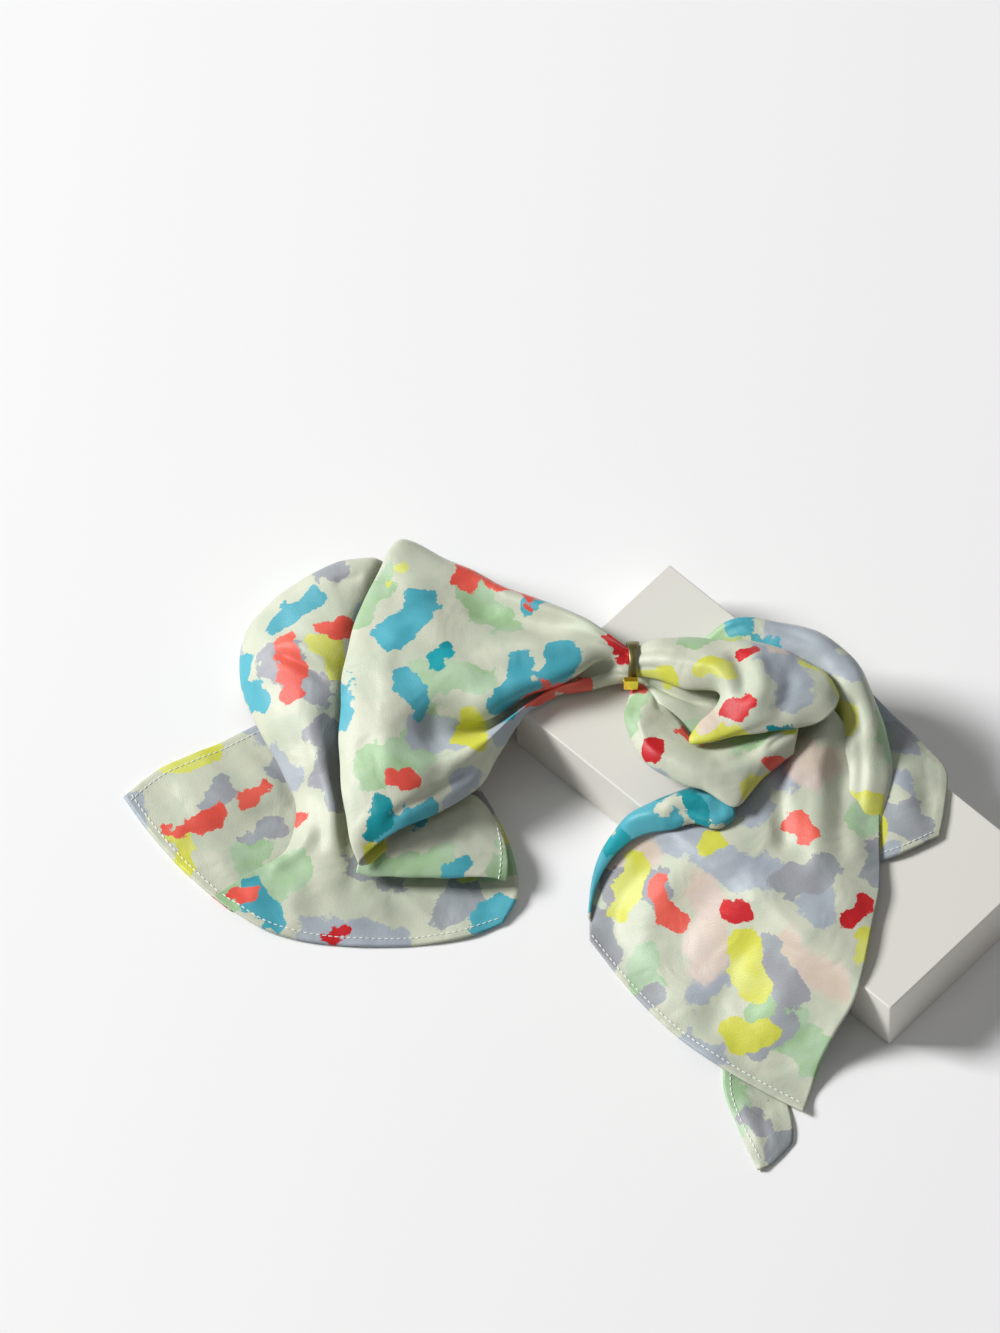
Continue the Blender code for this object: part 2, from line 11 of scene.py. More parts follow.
import bpy
import numpy as np
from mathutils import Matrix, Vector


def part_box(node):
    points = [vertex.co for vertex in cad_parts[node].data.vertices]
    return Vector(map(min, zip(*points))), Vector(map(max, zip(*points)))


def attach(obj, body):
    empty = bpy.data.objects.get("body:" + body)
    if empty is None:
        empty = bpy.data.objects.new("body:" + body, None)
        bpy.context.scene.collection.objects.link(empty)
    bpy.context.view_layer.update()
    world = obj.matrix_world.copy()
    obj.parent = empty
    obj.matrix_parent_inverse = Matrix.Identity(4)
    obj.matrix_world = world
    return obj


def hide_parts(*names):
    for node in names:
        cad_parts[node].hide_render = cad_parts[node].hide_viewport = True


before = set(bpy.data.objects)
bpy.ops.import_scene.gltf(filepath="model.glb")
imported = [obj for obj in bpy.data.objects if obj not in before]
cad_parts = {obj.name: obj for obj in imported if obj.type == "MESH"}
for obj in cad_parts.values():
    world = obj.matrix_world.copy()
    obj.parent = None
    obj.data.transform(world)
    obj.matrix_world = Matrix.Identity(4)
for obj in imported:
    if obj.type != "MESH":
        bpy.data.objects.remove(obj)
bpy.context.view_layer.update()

# %% [markdown]
# ## One origin for all tables
# Every shape below is written in millimetres from the floor right under the ring, because the cloth
# radiates from there. The frame puts the ring somewhere else, so one shift carries all points over.

# %% The ring's place, and the way from table millimetres to metres
RING_CENTRE = np.array([1.0, 0.0, 48.6])
RING_LOW, RING_HIGH = (np.array(corner) * 1000 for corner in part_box("ring_band"))
SHIFT = (RING_LOW + RING_HIGH) / 2 - RING_CENTRE
print("shift from table to frame, mm:", SHIFT.round(2))


def metres(points):
    """Frame position = (table position + shift) / 1000."""
    return (np.asarray(points, float) + SHIFT) * 0.001


# %% [markdown]
# ## Lofting cloth through ribs
# A dressmaker would see each stretch as cloth lying over a few curves. Nets of Bezier patches or a
# cloth simulation could give the same form, but a simulation would not keep these exact folds. So
# each stretch is a table of ribs, and a Catmull-Rom curve is passed through the ribs both ways.

# %% Loft a grid of points through a table of ribs
CLOTH_STEP = 1.7          # spacing of the grid, mm
RELAX_ROUNDS = 3


def smooth(points, count):
    """Catmull-Rom: half of 2b + (c-a)t + (2a-5b+4c-d)t^2 + (3b-a-3c+d)t^3 between points b and c."""
    pts = np.asarray(points, float)
    ends = np.concatenate([2 * pts[:1] - pts[1:2], pts, 2 * pts[-1:] - pts[-2:-1]])
    where = np.linspace(0, len(pts) - 1, count)
    left = np.clip(where.astype(int), 0, len(pts) - 2)
    t = (where - left).reshape((-1,) + (1,) * (pts.ndim - 1))
    a, b, c, d = (ends[left + k] for k in range(4))
    square = (2 * a - 5 * b + 4 * c - d) * t ** 2
    cube = (3 * b - a - 3 * c + d) * t ** 3
    return 0.5 * (2 * b + (c - a) * t + square + cube)


def lengths(grid, axis):
    """Running length along an axis of the grid: the sum of the distances between neighbours."""
    steps = np.linalg.norm(np.diff(grid, axis=axis), axis=2)
    pad = [(1, 0), (0, 0)] if axis == 0 else [(0, 0), (1, 0)]
    return np.pad(np.cumsum(steps, axis=axis), pad)


def counts(grid):
    """How many points each way give the wanted spacing, from the longest line each way."""
    return [int(lengths(grid, axis).max() / CLOTH_STEP) + 2 for axis in (0, 1)]


def relax(grid, rounds):
    """Moves each inner point to a quarter of its neighbours and half of itself, along both ways."""
    for _ in range(rounds):
        for axis in (0, 1):
            g = np.swapaxes(grid, 0, axis).copy()
            g[1:-1] = g[1:-1] / 2 + (g[:-2] + g[2:]) / 4
            grid = np.swapaxes(g, 0, axis)
    return grid


def loft(table):
    """Ribs first, then columns: smooth() across the ribs, and again along each of them."""
    ribs = np.array([list(row) for row in table.values()], float)
    across, along = counts(ribs)
    grid = smooth(ribs, across)
    return relax(np.swapaxes(smooth(np.swapaxes(grid, 0, 1), along), 0, 1), RELAX_ROUNDS)


def normals(grid):
    """Unit cross product of the grid's two directions."""
    n = np.cross(np.gradient(grid, axis=0), np.gradient(grid, axis=1))
    return n / np.maximum(np.linalg.norm(n, axis=2, keepdims=True), 1e-9)


# %% [markdown]
# ## The left half
# Four stretches show: the front panel that fans out of the ring, the shoulder behind it that runs
# on under it to the hem, a pleat between the two, and the loose corner on the floor. The columns of
# each table are named above it, and each cell is a point (x, y, z).

# %% Ribs of the left half
# left front panel: from its crisp left fold to the neck in the ring
# columns: foot, back, crest, top, roll, edge, hollow, strip, lip, end
LEFT_PANEL = {
    "tuck": [(-104, 83, 3), (-104, 70, 26), (-108, 61, 43), (-112, 44, 41), (-118, 24, 38),
             (-123, 0, 35), (-126, -28, 31), (-126, -55, 27), (-124, -76, 23), (-121, -89, 19.5)],
    "under": [(-112, 86.5, 3), (-112, 73.5, 26), (-114, 66, 44), (-122, 46.5, 41.5),
              (-129, 26, 38.5), (-135, 0.5, 35.5), (-138, -28, 32), (-138, -56.5, 28),
              (-134, -82, 23), (-129, -97, 18.5)],
    "fold": [(-119, 91, 3), (-118, 77.5, 28), (-119, 66.5, 48), (-129, 48, 46), (-136.5, 28, 44),
             (-142.5, 2, 41), (-145, -27, 38), (-144.5, -56, 34), (-140, -84, 28),
             (-135, -98.5, 20.5)],
    "crown": [(-110, 93, 3), (-111, 80, 28), (-114, 69, 50), (-121, 46.5, 49), (-127.5, 25, 48.5),
              (-133, -0.5, 47), (-135, -29.5, 45), (-134, -57.5, 41), (-131, -80, 35),
              (-128, -92, 25.5)],
    "face": [(-98, 87, 3), (-98, 74, 28), (-102.5, 64, 50), (-105, 41, 51), (-109, 14.5, 52),
             (-112, -11, 51.5), (-114, -35, 47), (-115, -56, 44), (-115.5, -73, 39), (-114, -84, 30.5)],
    "belly": [(-80, 78, 3), (-80, 64, 28), (-82.5, 54, 50), (-84, 33.5, 49), (-86, 8.5, 53),
              (-89, -17, 53), (-91.5, -33, 38.5), (-92.5, -52, 45), (-93.5, -63.5, 37),
              (-93, -72.5, 29)],
    "shoulder": [(-62, 67, 3), (-63, 54, 28), (-65, 43, 51), (-65, 28.5, 49), (-66.5, 3, 55),
                 (-70, -25, 53), (-71.5, -29, 35.5), (-73, -43, 46.5), (-74.5, -52.5, 38),
                 (-75, -58, 28)],
    "corner": [(-45, 57, 3), (-46, 46, 28), (-47, 33.5, 53), (-48, 20.5, 51), (-49, 0, 57),
               (-51, -17.5, 54), (-54, -18, 37.5), (-57, -27.5, 47.5), (-61, -34, 42),
               (-64, -40, 33)],
    "slope": [(-31, 45, 20), (-30, 38, 34), (-29, 26.5, 55), (-30, 16.5, 54), (-30, 2.5, 58),
              (-32, -10, 54.5), (-34, -9.5, 42.5), (-38.5, -14, 48), (-43.5, -17, 43.5),
              (-45.5, -17.5, 40)],
    "throat": [(-13, 17, 43), (-13, 17, 48), (-12.5, 14, 56), (-13, 9, 57.5), (-13, 4, 58.5),
               (-12.5, 0, 54.5), (-13, -2.5, 49.5), (-15, -6.5, 47.5), (-17, -10, 44), (-18, -10, 40.5)],
    "neck": [(0, 6.5, 42), (0, 7.5, 48), (0, 4.2, 54.5), (0, 1, 55.5), (0, -2, 54.5),
             (-0.5, -5.5, 51.5), (-0.5, -6.2, 49.5), (-0.5, -7, 47), (-0.5, -7.2, 44.5), (-0.5, -6.2, 42)],
}

# left body: the shoulder behind the panel, running on under it and out to the front hem
# columns: foot, under, edge, s1, s2, s3, s4, in, rim, curl
LEFT_BODY = {
    "floor": [(-160, 60, 3), (-163, 64, 2.5), (-164, 68, 2.5), (-156, 74, 2.5), (-147, 79, 2.5),
              (-137, 81, 2.5), (-127, 81, 2.5), (-121, 80, 2.5), (-117, 78, 3), (-113, 74, 4)],
    "back": [(-160, 52, 6), (-163, 56, 10), (-165, 61, 17), (-157, 67, 19), (-148, 71, 21),
             (-138, 73, 22), (-128, 72.5, 23), (-122, 71, 23), (-118, 69, 22), (-114, 64, 20)],
    "crest": [(-160, 46, 6), (-164, 50, 16), (-164.5, 56, 31), (-157, 60, 35), (-148, 63, 39),
              (-138, 63.5, 42), (-129, 63, 43), (-124, 60, 40), (-119, 55, 35), (-114, 48, 28)],
    "top": [(-172, 40, 4), (-179, 43, 12), (-182, 47, 25), (-171, 46, 33), (-159, 44.5, 38),
            (-147, 43.5, 41), (-137, 42, 41), (-129, 40.5, 36), (-120, 40, 31), (-112, 38, 24)],
    "upper": [(-191, 24, 3), (-193.5, 25, 9), (-193.5, 27, 18), (-184, 23, 27), (-171.5, 20, 33),
              (-159, 18, 36), (-148, 17, 36), (-139, 16, 32), (-126, 15, 25), (-112, 14, 16)],
    "middle": [(-189.5, -1, 6), (-191, -0.5, 9), (-190, 0, 12.5), (-181, -4, 21),
               (-169.5, -7.5, 27), (-157.5, -10, 30), (-148, -11, 28.5), (-140, -12, 22),
               (-124, -11, 15), (-106, -10, 8)],
    "waist": [(-177.5, -28.5, 6), (-178, -28, 8.5), (-176.5, -28, 11.5), (-170, -31.5, 18),
              (-162, -34.5, 23), (-154, -36, 24), (-147, -37, 20), (-139, -37, 14), (-115, -34, 8),
              (-86, -28, 4)],
    "fade": [(-166.5, -56, 5.8), (-166, -55.5, 8), (-164, -55, 10.5), (-159, -57, 14),
             (-154, -59, 17), (-148.5, -60.5, 18), (-143, -61, 14.5), (-134, -60, 9.5),
             (-108, -54, 5), (-74.5, -46.5, 3)],
    "hollow": [(-171, -80.5, 3.4), (-168, -78.5, 4.4), (-164.5, -76.5, 6.2), (-159.5, -77.5, 9.5),
               (-153.5, -79, 12), (-147, -80, 12), (-139, -80, 9), (-128, -79, 6), (-98, -75, 3.5),
               (-62.5, -71.5, 3.8)],
    "valley": [(-190, -94.5, 3.6), (-185, -93.5, 3.8), (-180, -92.5, 4.2), (-167.5, -94, 5.5),
               (-155, -94.5, 6.5), (-144, -95.5, 6.5), (-130, -96, 5.2), (-112, -95, 3.6),
               (-86, -93, 3), (-57, -91.5, 4.5)],
    "apron": [(-203, -104, 3), (-197.5, -104.5, 3), (-192, -104.5, 3.2), (-177, -109.5, 4),
              (-161, -113.5, 4.2), (-142.5, -115.5, 3.6), (-122.5, -116, 3), (-106, -115, 2.4),
              (-84, -112, 2.2), (-56, -107.5, 4.8)],
    "hem": [(-208, -106, 3), (-204.5, -109.5, 3), (-200.5, -113, 3), (-184, -124.5, 2.8),
            (-165, -131, 2), (-142.5, -134, 1.2), (-117.5, -134.5, 1.2), (-100, -133, 1.2),
            (-80, -129, 1.2), (-63.5, -121.5, 2)],
}

# left tail: the loose corner on the floor. Rows follow its two hems.
# columns: hem, t1, t2, t3, t4, t5, end
LEFT_TAIL = {
    "upper_hem": [(-252.5, -49.5, 1), (-237, -35, 1.2), (-221.5, -27, 1.6), (-205, -19, 2),
                  (-190, -10.5, 2), (-176, -3.5, 1.4), (-165, 2, 1)],
    "upper": [(-237.5, -72.5, 1.2), (-222, -60, 3.4), (-206, -51, 4), (-190, -42.5, 3.2),
              (-176, -35, 2), (-165, -31, 1), (-156, -27, 1)],
    "lower": [(-220, -94, 1.2), (-207, -84, 2.6), (-193.5, -74.5, 2.2), (-181, -65.5, 1.6),
              (-171, -61, 1.1), (-162.5, -58, 1), (-155, -56, 1)],
    "lower_hem": [(-199, -114, 0.8), (-187, -109, 0.8), (-177, -101, 0.8), (-168, -93, 0.8),
                  (-161, -87, 0.8), (-155, -81, 0.8), (-150, -77, 0.8)],
}

# left middle fold: the pleat between the body and the front panel
# columns: under_end, under, ridge, crown, back, end
LEFT_MIDDLE = {
    "nose": [(-128, -80, 8), (-132, -91, 8.5), (-136, -99, 12.5), (-135.5, -96, 15.5),
             (-131.5, -87, 14.5), (-127, -79, 13)],
    "left": [(-119, -82, 10), (-122, -93, 10.5), (-126, -102, 12.5), (-124.5, -97.5, 16.5),
             (-116, -86, 20), (-111, -71, 20)],
    "middle": [(-96, -76, 9), (-98, -92, 9.5), (-100, -101.5, 13), (-99, -91.5, 18), (-96, -76, 20),
               (-92, -61, 19)],
    "right": [(-82, -74, 8), (-83, -90, 9), (-85, -102.5, 14), (-84, -90, 18), (-82, -70, 18.5),
              (-80, -56, 16)],
    "rim": [(-72, -78, 8), (-71, -90, 9), (-71, -103, 14), (-70, -90, 16), (-71, -73, 14.5),
            (-73, -60, 12)],
    "loop": [(-67, -87, 7.5), (-65, -94, 8), (-62, -103, 11), (-61, -95, 14), (-63, -82, 13),
             (-66, -72, 11)],
}

# %% [markdown]
# ## The right half
# The other half rises out of the ring as a loop, tucks a second layer behind it, rolls over at the
# front and spills down the side of the box as a tail with its corner folded under. The tail follows
# the box, so its table is written along and past the box's front edge.

# %% Ribs of the right half
# right lobe: the big loop that rises out of the ring
# columns: back, rim, b1, crown, f1, lip, tuck
RIGHT_LOBE = {
    "neck": [(0.5, 6.5, 49), (0.5, 4, 54), (0.5, 0.5, 55.5), (0.5, -3, 55.2), (0.5, -5.5, 53.5),
             (0.5, -7, 50.5), (0.5, -5.5, 48)],
    "swell": [(11, 11, 49), (11.5, 8, 57.5), (12.5, 1, 61), (13, -5, 62.3), (14.5, -10, 60),
              (15.5, -13, 55), (13, -9, 51)],
    "rise": [(24, 13, 48), (23.5, 9.5, 58), (25, 0, 64), (26.5, -8, 66.5), (28, -15, 64),
             (29, -20, 58), (28, -14, 54)],
    "lip": [(34, 12, 49), (33.5, 9.5, 58), (36.5, -2, 66), (39, -12, 70), (42, -19, 67),
            (43.5, -23.5, 60), (42, -18, 56)],
    "turn": [(46, 11, 48), (46, 7.5, 59), (48.5, -5.5, 67), (49, -19.5, 71), (46, -30, 67),
             (40, -33, 60), (45, -31, 56)],
    "curl": [(60, 10, 48), (59, 6.5, 60), (61, -10, 69), (59, -27.5, 72), (49, -38.5, 67),
             (33.5, -41, 60), (40, -40, 56)],
    "front": [(73, 5, 48), (72.5, 2, 61), (73.5, -15.5, 69), (68, -34, 71), (52.5, -47, 66),
              (30, -51, 58.5), (36, -48, 55.5)],
    "ridge": [(84, -4, 48), (85, -5, 62), (85.5, -21, 68), (78, -37, 69), (66, -45, 66),
              (50, -50, 61.5), (47, -43, 59)],
    "flank": [(93, -13, 49), (96.5, -12.5, 62), (96, -27, 67), (88, -38, 67.5), (78, -44.5, 65),
              (66, -47, 62), (62, -41, 59)],
    "end": [(98, -24, 50), (103, -24, 60), (102, -33, 64), (97, -40, 64.5), (90, -43.5, 63),
            (83, -43, 61), (79, -38, 58.5)],
}

# right back band: the layer behind the lobe, from the ring side round to the front tail
# columns: inner, inner_edge, ridge, outer, low, foot
RIGHT_BAND = {
    "start": [(42, 4, 44), (40, 7, 47), (37, 10, 49), (34, 12, 48.5), (33, 13.5, 44), (33, 13, 39.5)],
    "rise": [(54, 3, 50), (53, 9, 55), (51.5, 15, 58.5), (50, 19.5, 57.5), (50, 22, 48), (51, 20, 39.5)],
    "back": [(66, 1, 51), (66, 7, 57), (65, 14, 61.3), (64, 19.5, 59.5), (64, 23.5, 49), (64, 21, 39.5)],
    "bend": [(80, -6, 52), (83, -1, 58.5), (85.5, 6, 62.5), (87, 13, 61), (89, 18, 50), (91, 16, 32)],
    "corner": [(95, -15, 52), (98, -11, 59), (102.5, -5.5, 62), (107.5, -0.5, 60), (111, 0, 49),
               (113, -3, 30)],
    "side": [(102, -31, 50), (106, -27, 57), (110.5, -21, 60.5), (116.5, -15.5, 58),
             (118.5, -17, 48), (119.5, -20, 34)],
    "flank": [(104, -40, 47), (108, -36, 53.5), (114, -31.5, 57.5), (121.5, -28, 55),
              (123.5, -29, 46), (124.5, -31, 39.3)],
    "slope": [(106, -49, 46), (110.5, -47, 51), (116.5, -44, 54.5), (125, -40.5, 51),
              (127, -42, 44), (127.5, -44, 39.5)],
    "merge": [(108, -62, 43.5), (112, -61, 46), (118.5, -60, 48.5), (127.5, -58, 46),
              (129.5, -58, 42), (130, -58, 39.5)],
    "end": [(106, -92, 40), (110, -92, 40), (115, -92, 40), (121, -91, 39.8), (123, -90, 39.6),
            (124, -90, 39.4)],
}

# right inner roll: rolls out of the ring under the lobe and runs on as the fold towards the right
# columns: inside, edge, crown, low, under
RIGHT_ROLL = {
    "neck": [(1.5, 1, 44.5), (1.5, -4, 46), (1.5, -8, 44.5), (1.5, -8.8, 43), (2, -7, 41)],
    "start": [(13, -12, 46), (9, -16.5, 48), (4, -20.5, 46.5), (-2.5, -19, 43), (1, -15, 39.2)],
    "swell": [(16.5, -24, 49), (7.5, -31, 54), (2, -33.5, 54), (-3.5, -30.5, 47), (-1, -25, 40)],
    "bend": [(24, -33, 50), (11, -47, 56), (6.5, -50.5, 56), (2, -50, 49), (5, -42, 40.5)],
    "turn": [(29, -42.5, 51), (19, -54, 57), (15.5, -59.5, 57), (11.5, -62, 50), (15, -54.5, 41.5)],
    "run": [(35, -47, 52), (32.5, -59.5, 57.5), (29, -66.5, 57.5), (25.5, -71, 51), (28, -62.5, 45)],
    "cone": [(42.5, -47, 52), (43, -60, 57.5), (40, -69.5, 57.5), (37, -74.5, 53), (40, -67, 48.5)],
    "tip": [(52.5, -44, 53), (53, -55, 58), (53, -69, 57), (50.5, -84.5, 52), (52.5, -76.5, 49)],
    "fold": [(62.5, -40, 53), (63.5, -50, 58), (62, -60.5, 57), (59, -75.5, 51.5), (61, -68.5, 47)],
    "far": [(72, -38, 56), (73, -45, 60.5), (71, -53, 58.5), (68, -63, 50.5), (68.5, -58, 46)],
    "end": [(83, -35, 57), (84, -40, 61.5), (82.5, -45, 60), (80, -53, 52), (80, -48, 47)],
}

# right leaf: the narrow roll at the front tail's upper edge
# columns: back, outline, crown, ridge, under
RIGHT_LEAF = {
    "mouth": [(46, -68, 43), (49, -73, 47), (50.5, -79, 49), (51.5, -86, 48), (50, -88, 45)],
    "root": [(34, -67, 42), (36, -72, 46.5), (39, -81, 49.5), (41, -90, 48), (41.5, -92.5, 45)],
    "run": [(23, -69, 42), (23, -73, 46.5), (26, -80.5, 49.5), (29, -86.5, 47.5), (30.5, -89, 44.5)],
    "bend": [(12, -73, 40), (11, -76, 44.5), (14, -83, 47.5), (18, -89, 45), (20, -91.5, 42)],
    "drop": [(2, -76, 35), (0, -79.5, 38.5), (1.2, -83.5, 40.5), (4, -87.5, 38.5), (6, -90, 35.5)],
    "tip": [(-7, -82.5, 26), (-8.8, -85, 28.5), (-8, -88, 29.6), (-6, -90.5, 28.2), (-4.5, -92, 26)],
    "trail": [(-14, -90, 15.5), (-15.6, -92, 17.4), (-15, -94.5, 18.3), (-13.6, -96.5, 17.6),
              (-12.5, -97.5, 16.5)],
    "foot": [(-18.8, -101.5, 7.4), (-20.1, -103.3, 8.9), (-19.6, -105.2, 9.6), (-18.6, -106.6, 9.3),
             (-17.8, -107.4, 8.6)],
    "last": [(-21.2, -117, 2), (-22, -118.6, 3.0), (-21.5, -119.8, 3.6), (-20.8, -120.7, 3.4),
             (-20.3, -121.2, 2.9)],
}

# right tip: the corner folded under the hem, on the floor
# columns: left, t1, t2, right
RIGHT_TIP = {
    "under": [(45, -198, 0.7), (55, -204, 0.7), (66, -211, 0.7), (76, -218, 0.7)],
    "hem": [(45.5, -216, 0.8), (56, -221, 1.4), (68, -227, 2), (79, -232, 1)],
    "middle": [(50, -230, 1.0), (58, -234, 3.2), (68, -238, 3.8), (79.5, -242, 1.4)],
    "low": [(56, -246, 1.0), (63, -247.5, 2.8), (69, -248, 3), (78, -247, 1.3)],
    "corner": [(62, -260.5, 1.0), (63, -260.5, 1.8), (64.5, -260, 1.8), (68, -257.5, 1.3)],
}

# right rear tail: the other loose corner, on the box behind the band
# columns: inside, r1, r2, hem
REAR_TAIL = {
    "upper_hem": [(120, -12, 38.6), (131, -25, 39.2), (144, -39, 39), (153, -49.5, 38.6)],
    "upper": [(118, -40, 39.5), (134, -44, 42), (147, -52, 41.2), (157, -59, 39.2)],
    "lower": [(118, -72, 39.5), (134, -71, 42), (146.5, -73, 41.3), (155.5, -76, 39.2)],
    "lower_hem": [(117, -109, 39.4), (130, -105, 39.5), (142, -99, 39.4), (152.5, -93, 39)],
}

# right front tail, in the box's own directions: d is how far past the box's front edge, s is along it
# columns: d, s of the left edge, s of the right edge, then heights at five stations from left to right
RIGHT_TAIL = {
    "top": (-98, 108, 158, 41, 57, 50, 44, 41.5),
    "fold": (-82, 110, 170, 39.5, 53.5, 46.5, 43, 41.5),
    "lip": (-64, 108, 186, 40, 48.5, 45.5, 44, 41.5),
    "valley": (-47, 110, 202, 42, 46.5, 46, 46, 42),
    "panel": (-30, 119, 213, 43.5, 45, 45.5, 45, 41.5),
    "fall": (-16, 112, 222, 41.6, 44, 44.5, 44, 41),
    "brink": (-5, 100, 229, 40.4, 43, 43.5, 42.8, 40),
    "edge": (3, 91, 233, 38, 40.5, 40.5, 40, 37.8),
    "drop": (10, 85, 234, 29, 32.5, 32.5, 32, 28),
    "sweep": (20, 80, 234, 17, 21.5, 21.5, 21, 17),
    "foot": (32, 84, 236, 8, 11.5, 12, 11, 7.5),
    "floor": (46, 93, 242, 3, 5, 5.5, 4.5, 2.4),
    "hem": (58, 104, 248, 1.2, 1.2, 2.2, 3.5, 3.6),
}

# right loop inside: the layers that show in the mouth of the loop, gathered in the ring
# columns: roll side, i1, i2, lobe side
RIGHT_INSIDE = {
    "neck": [(1.5, -8, 46), (1.5, -6.5, 48), (1.5, -5, 48.5), (1.5, -3, 48)],
    "open": [(5, -20, 43), (10, -16, 49), (16, -12, 50.5), (23, -6, 50)],
    "middle": [(9, -32, 43), (17, -27, 49.5), (27, -20, 50.5), (37, -10, 51)],
    "far": [(15, -44, 43), (27, -38, 48.5), (38, -28, 49), (48, -16, 51)],
    "end": [(26, -52, 43), (38, -46, 48), (49, -36, 49), (58, -22, 51)],
}
TAIL_STATIONS = 5         # heights in each row of the front tail's table
TAIL_BOW = 11.0           # how far the hem bows out at its middle, mm
TAIL_BOW_FROM = 20.0
TAIL_BOW_OVER = 38.0
BOX_SIZE = (252.0, 112.0, 37.0)
BOX_CORNER = np.array([-57.0, -17.7])
BOX_TURN = math.radians(-43)
LONG_WAY = np.array([math.cos(BOX_TURN), math.sin(BOX_TURN)])
SHORT_WAY = np.array([-math.sin(BOX_TURN), math.cos(BOX_TURN)])


def loft_tail(table):
    """Each section runs straight along the box's edge, and its plan bows out by a half sine."""
    t = np.linspace(0, 1, TAIL_STATIONS)
    sections = []
    for past, left, right, *heights in table.values():
        bow = TAIL_BOW * np.sin(np.pi * t) * max(0.0, (past - TAIL_BOW_FROM) / TAIL_BOW_OVER)
        plan = BOX_CORNER + np.outer(left + (right - left) * t, LONG_WAY) - np.outer(past + bow, SHORT_WAY)
        sections.append([(*xy, z) for xy, z in zip(plan, heights)])
    return loft(dict(enumerate(sections)))


# %% [markdown]
# ## Strokes on the cloth
# Creases and printed blotches are both laid on the cloth like brush strokes. A crease's path is given
# in ribs and columns, such as (4.2, 3.9), with a width in millimetres. Writing it this way, and not as
# points in space, keeps it on the cloth when a rib is moved. The distance of every grid point to a
# path then drives a crease's depth or a blotch's edge.

# %% Follow a path on the cloth and measure the distance to it
def trace(grid, size, path):
    """Points of the grid under a smooth path of (rib, column) pairs, by bilinear weights."""
    steps = smooth(path, 6 * len(path)) if len(path) > 1 else np.array(path, float)
    at = [steps[:, k] / (size[k] - 1) * (grid.shape[k] - 1) for k in (0, 1)]
    low = [np.clip(a.astype(int), 0, grid.shape[k] - 2) for k, a in enumerate(at)]
    fi, fj = (np.clip(a - b, 0, 1)[:, None] for a, b in zip(at, low))
    i, j = low
    near = grid[i, j] * (1 - fj) + grid[i, j + 1] * fj
    far = grid[i + 1, j] * (1 - fj) + grid[i + 1, j + 1] * fj
    return near * (1 - fi) + far * fi


def distance(grid, line):
    """Distance from each grid point to the nearest segment, and the share of the way along there."""
    best = np.full(grid.shape[:2], 1e9)
    along = np.zeros(grid.shape[:2])
    if len(line) == 1:
        return np.linalg.norm(grid - line[0], axis=2), along
    for k in range(len(line) - 1):
        a, d = line[k], line[k + 1] - line[k]
        t = np.clip(((grid - a) @ d) / max(d @ d, 1e-9), 0, 1)
        gap = np.linalg.norm(grid - a - t[..., None] * d, axis=2)
        nearer = gap < best
        best = np.where(nearer, gap, best)
        along = np.where(nearer, (k + t) / (len(line) - 1), along)
    return best, along


# %% [markdown]
# ## Creases
# Silk keeps soft troughs where it was gathered and crisp ones where it was pressed. Each row below
# is one crease: its depth, its half width and its path. A depth below zero is a trough, and above
# zero a ridge. The profile across it is a bell curve, and it fades out towards both ends.

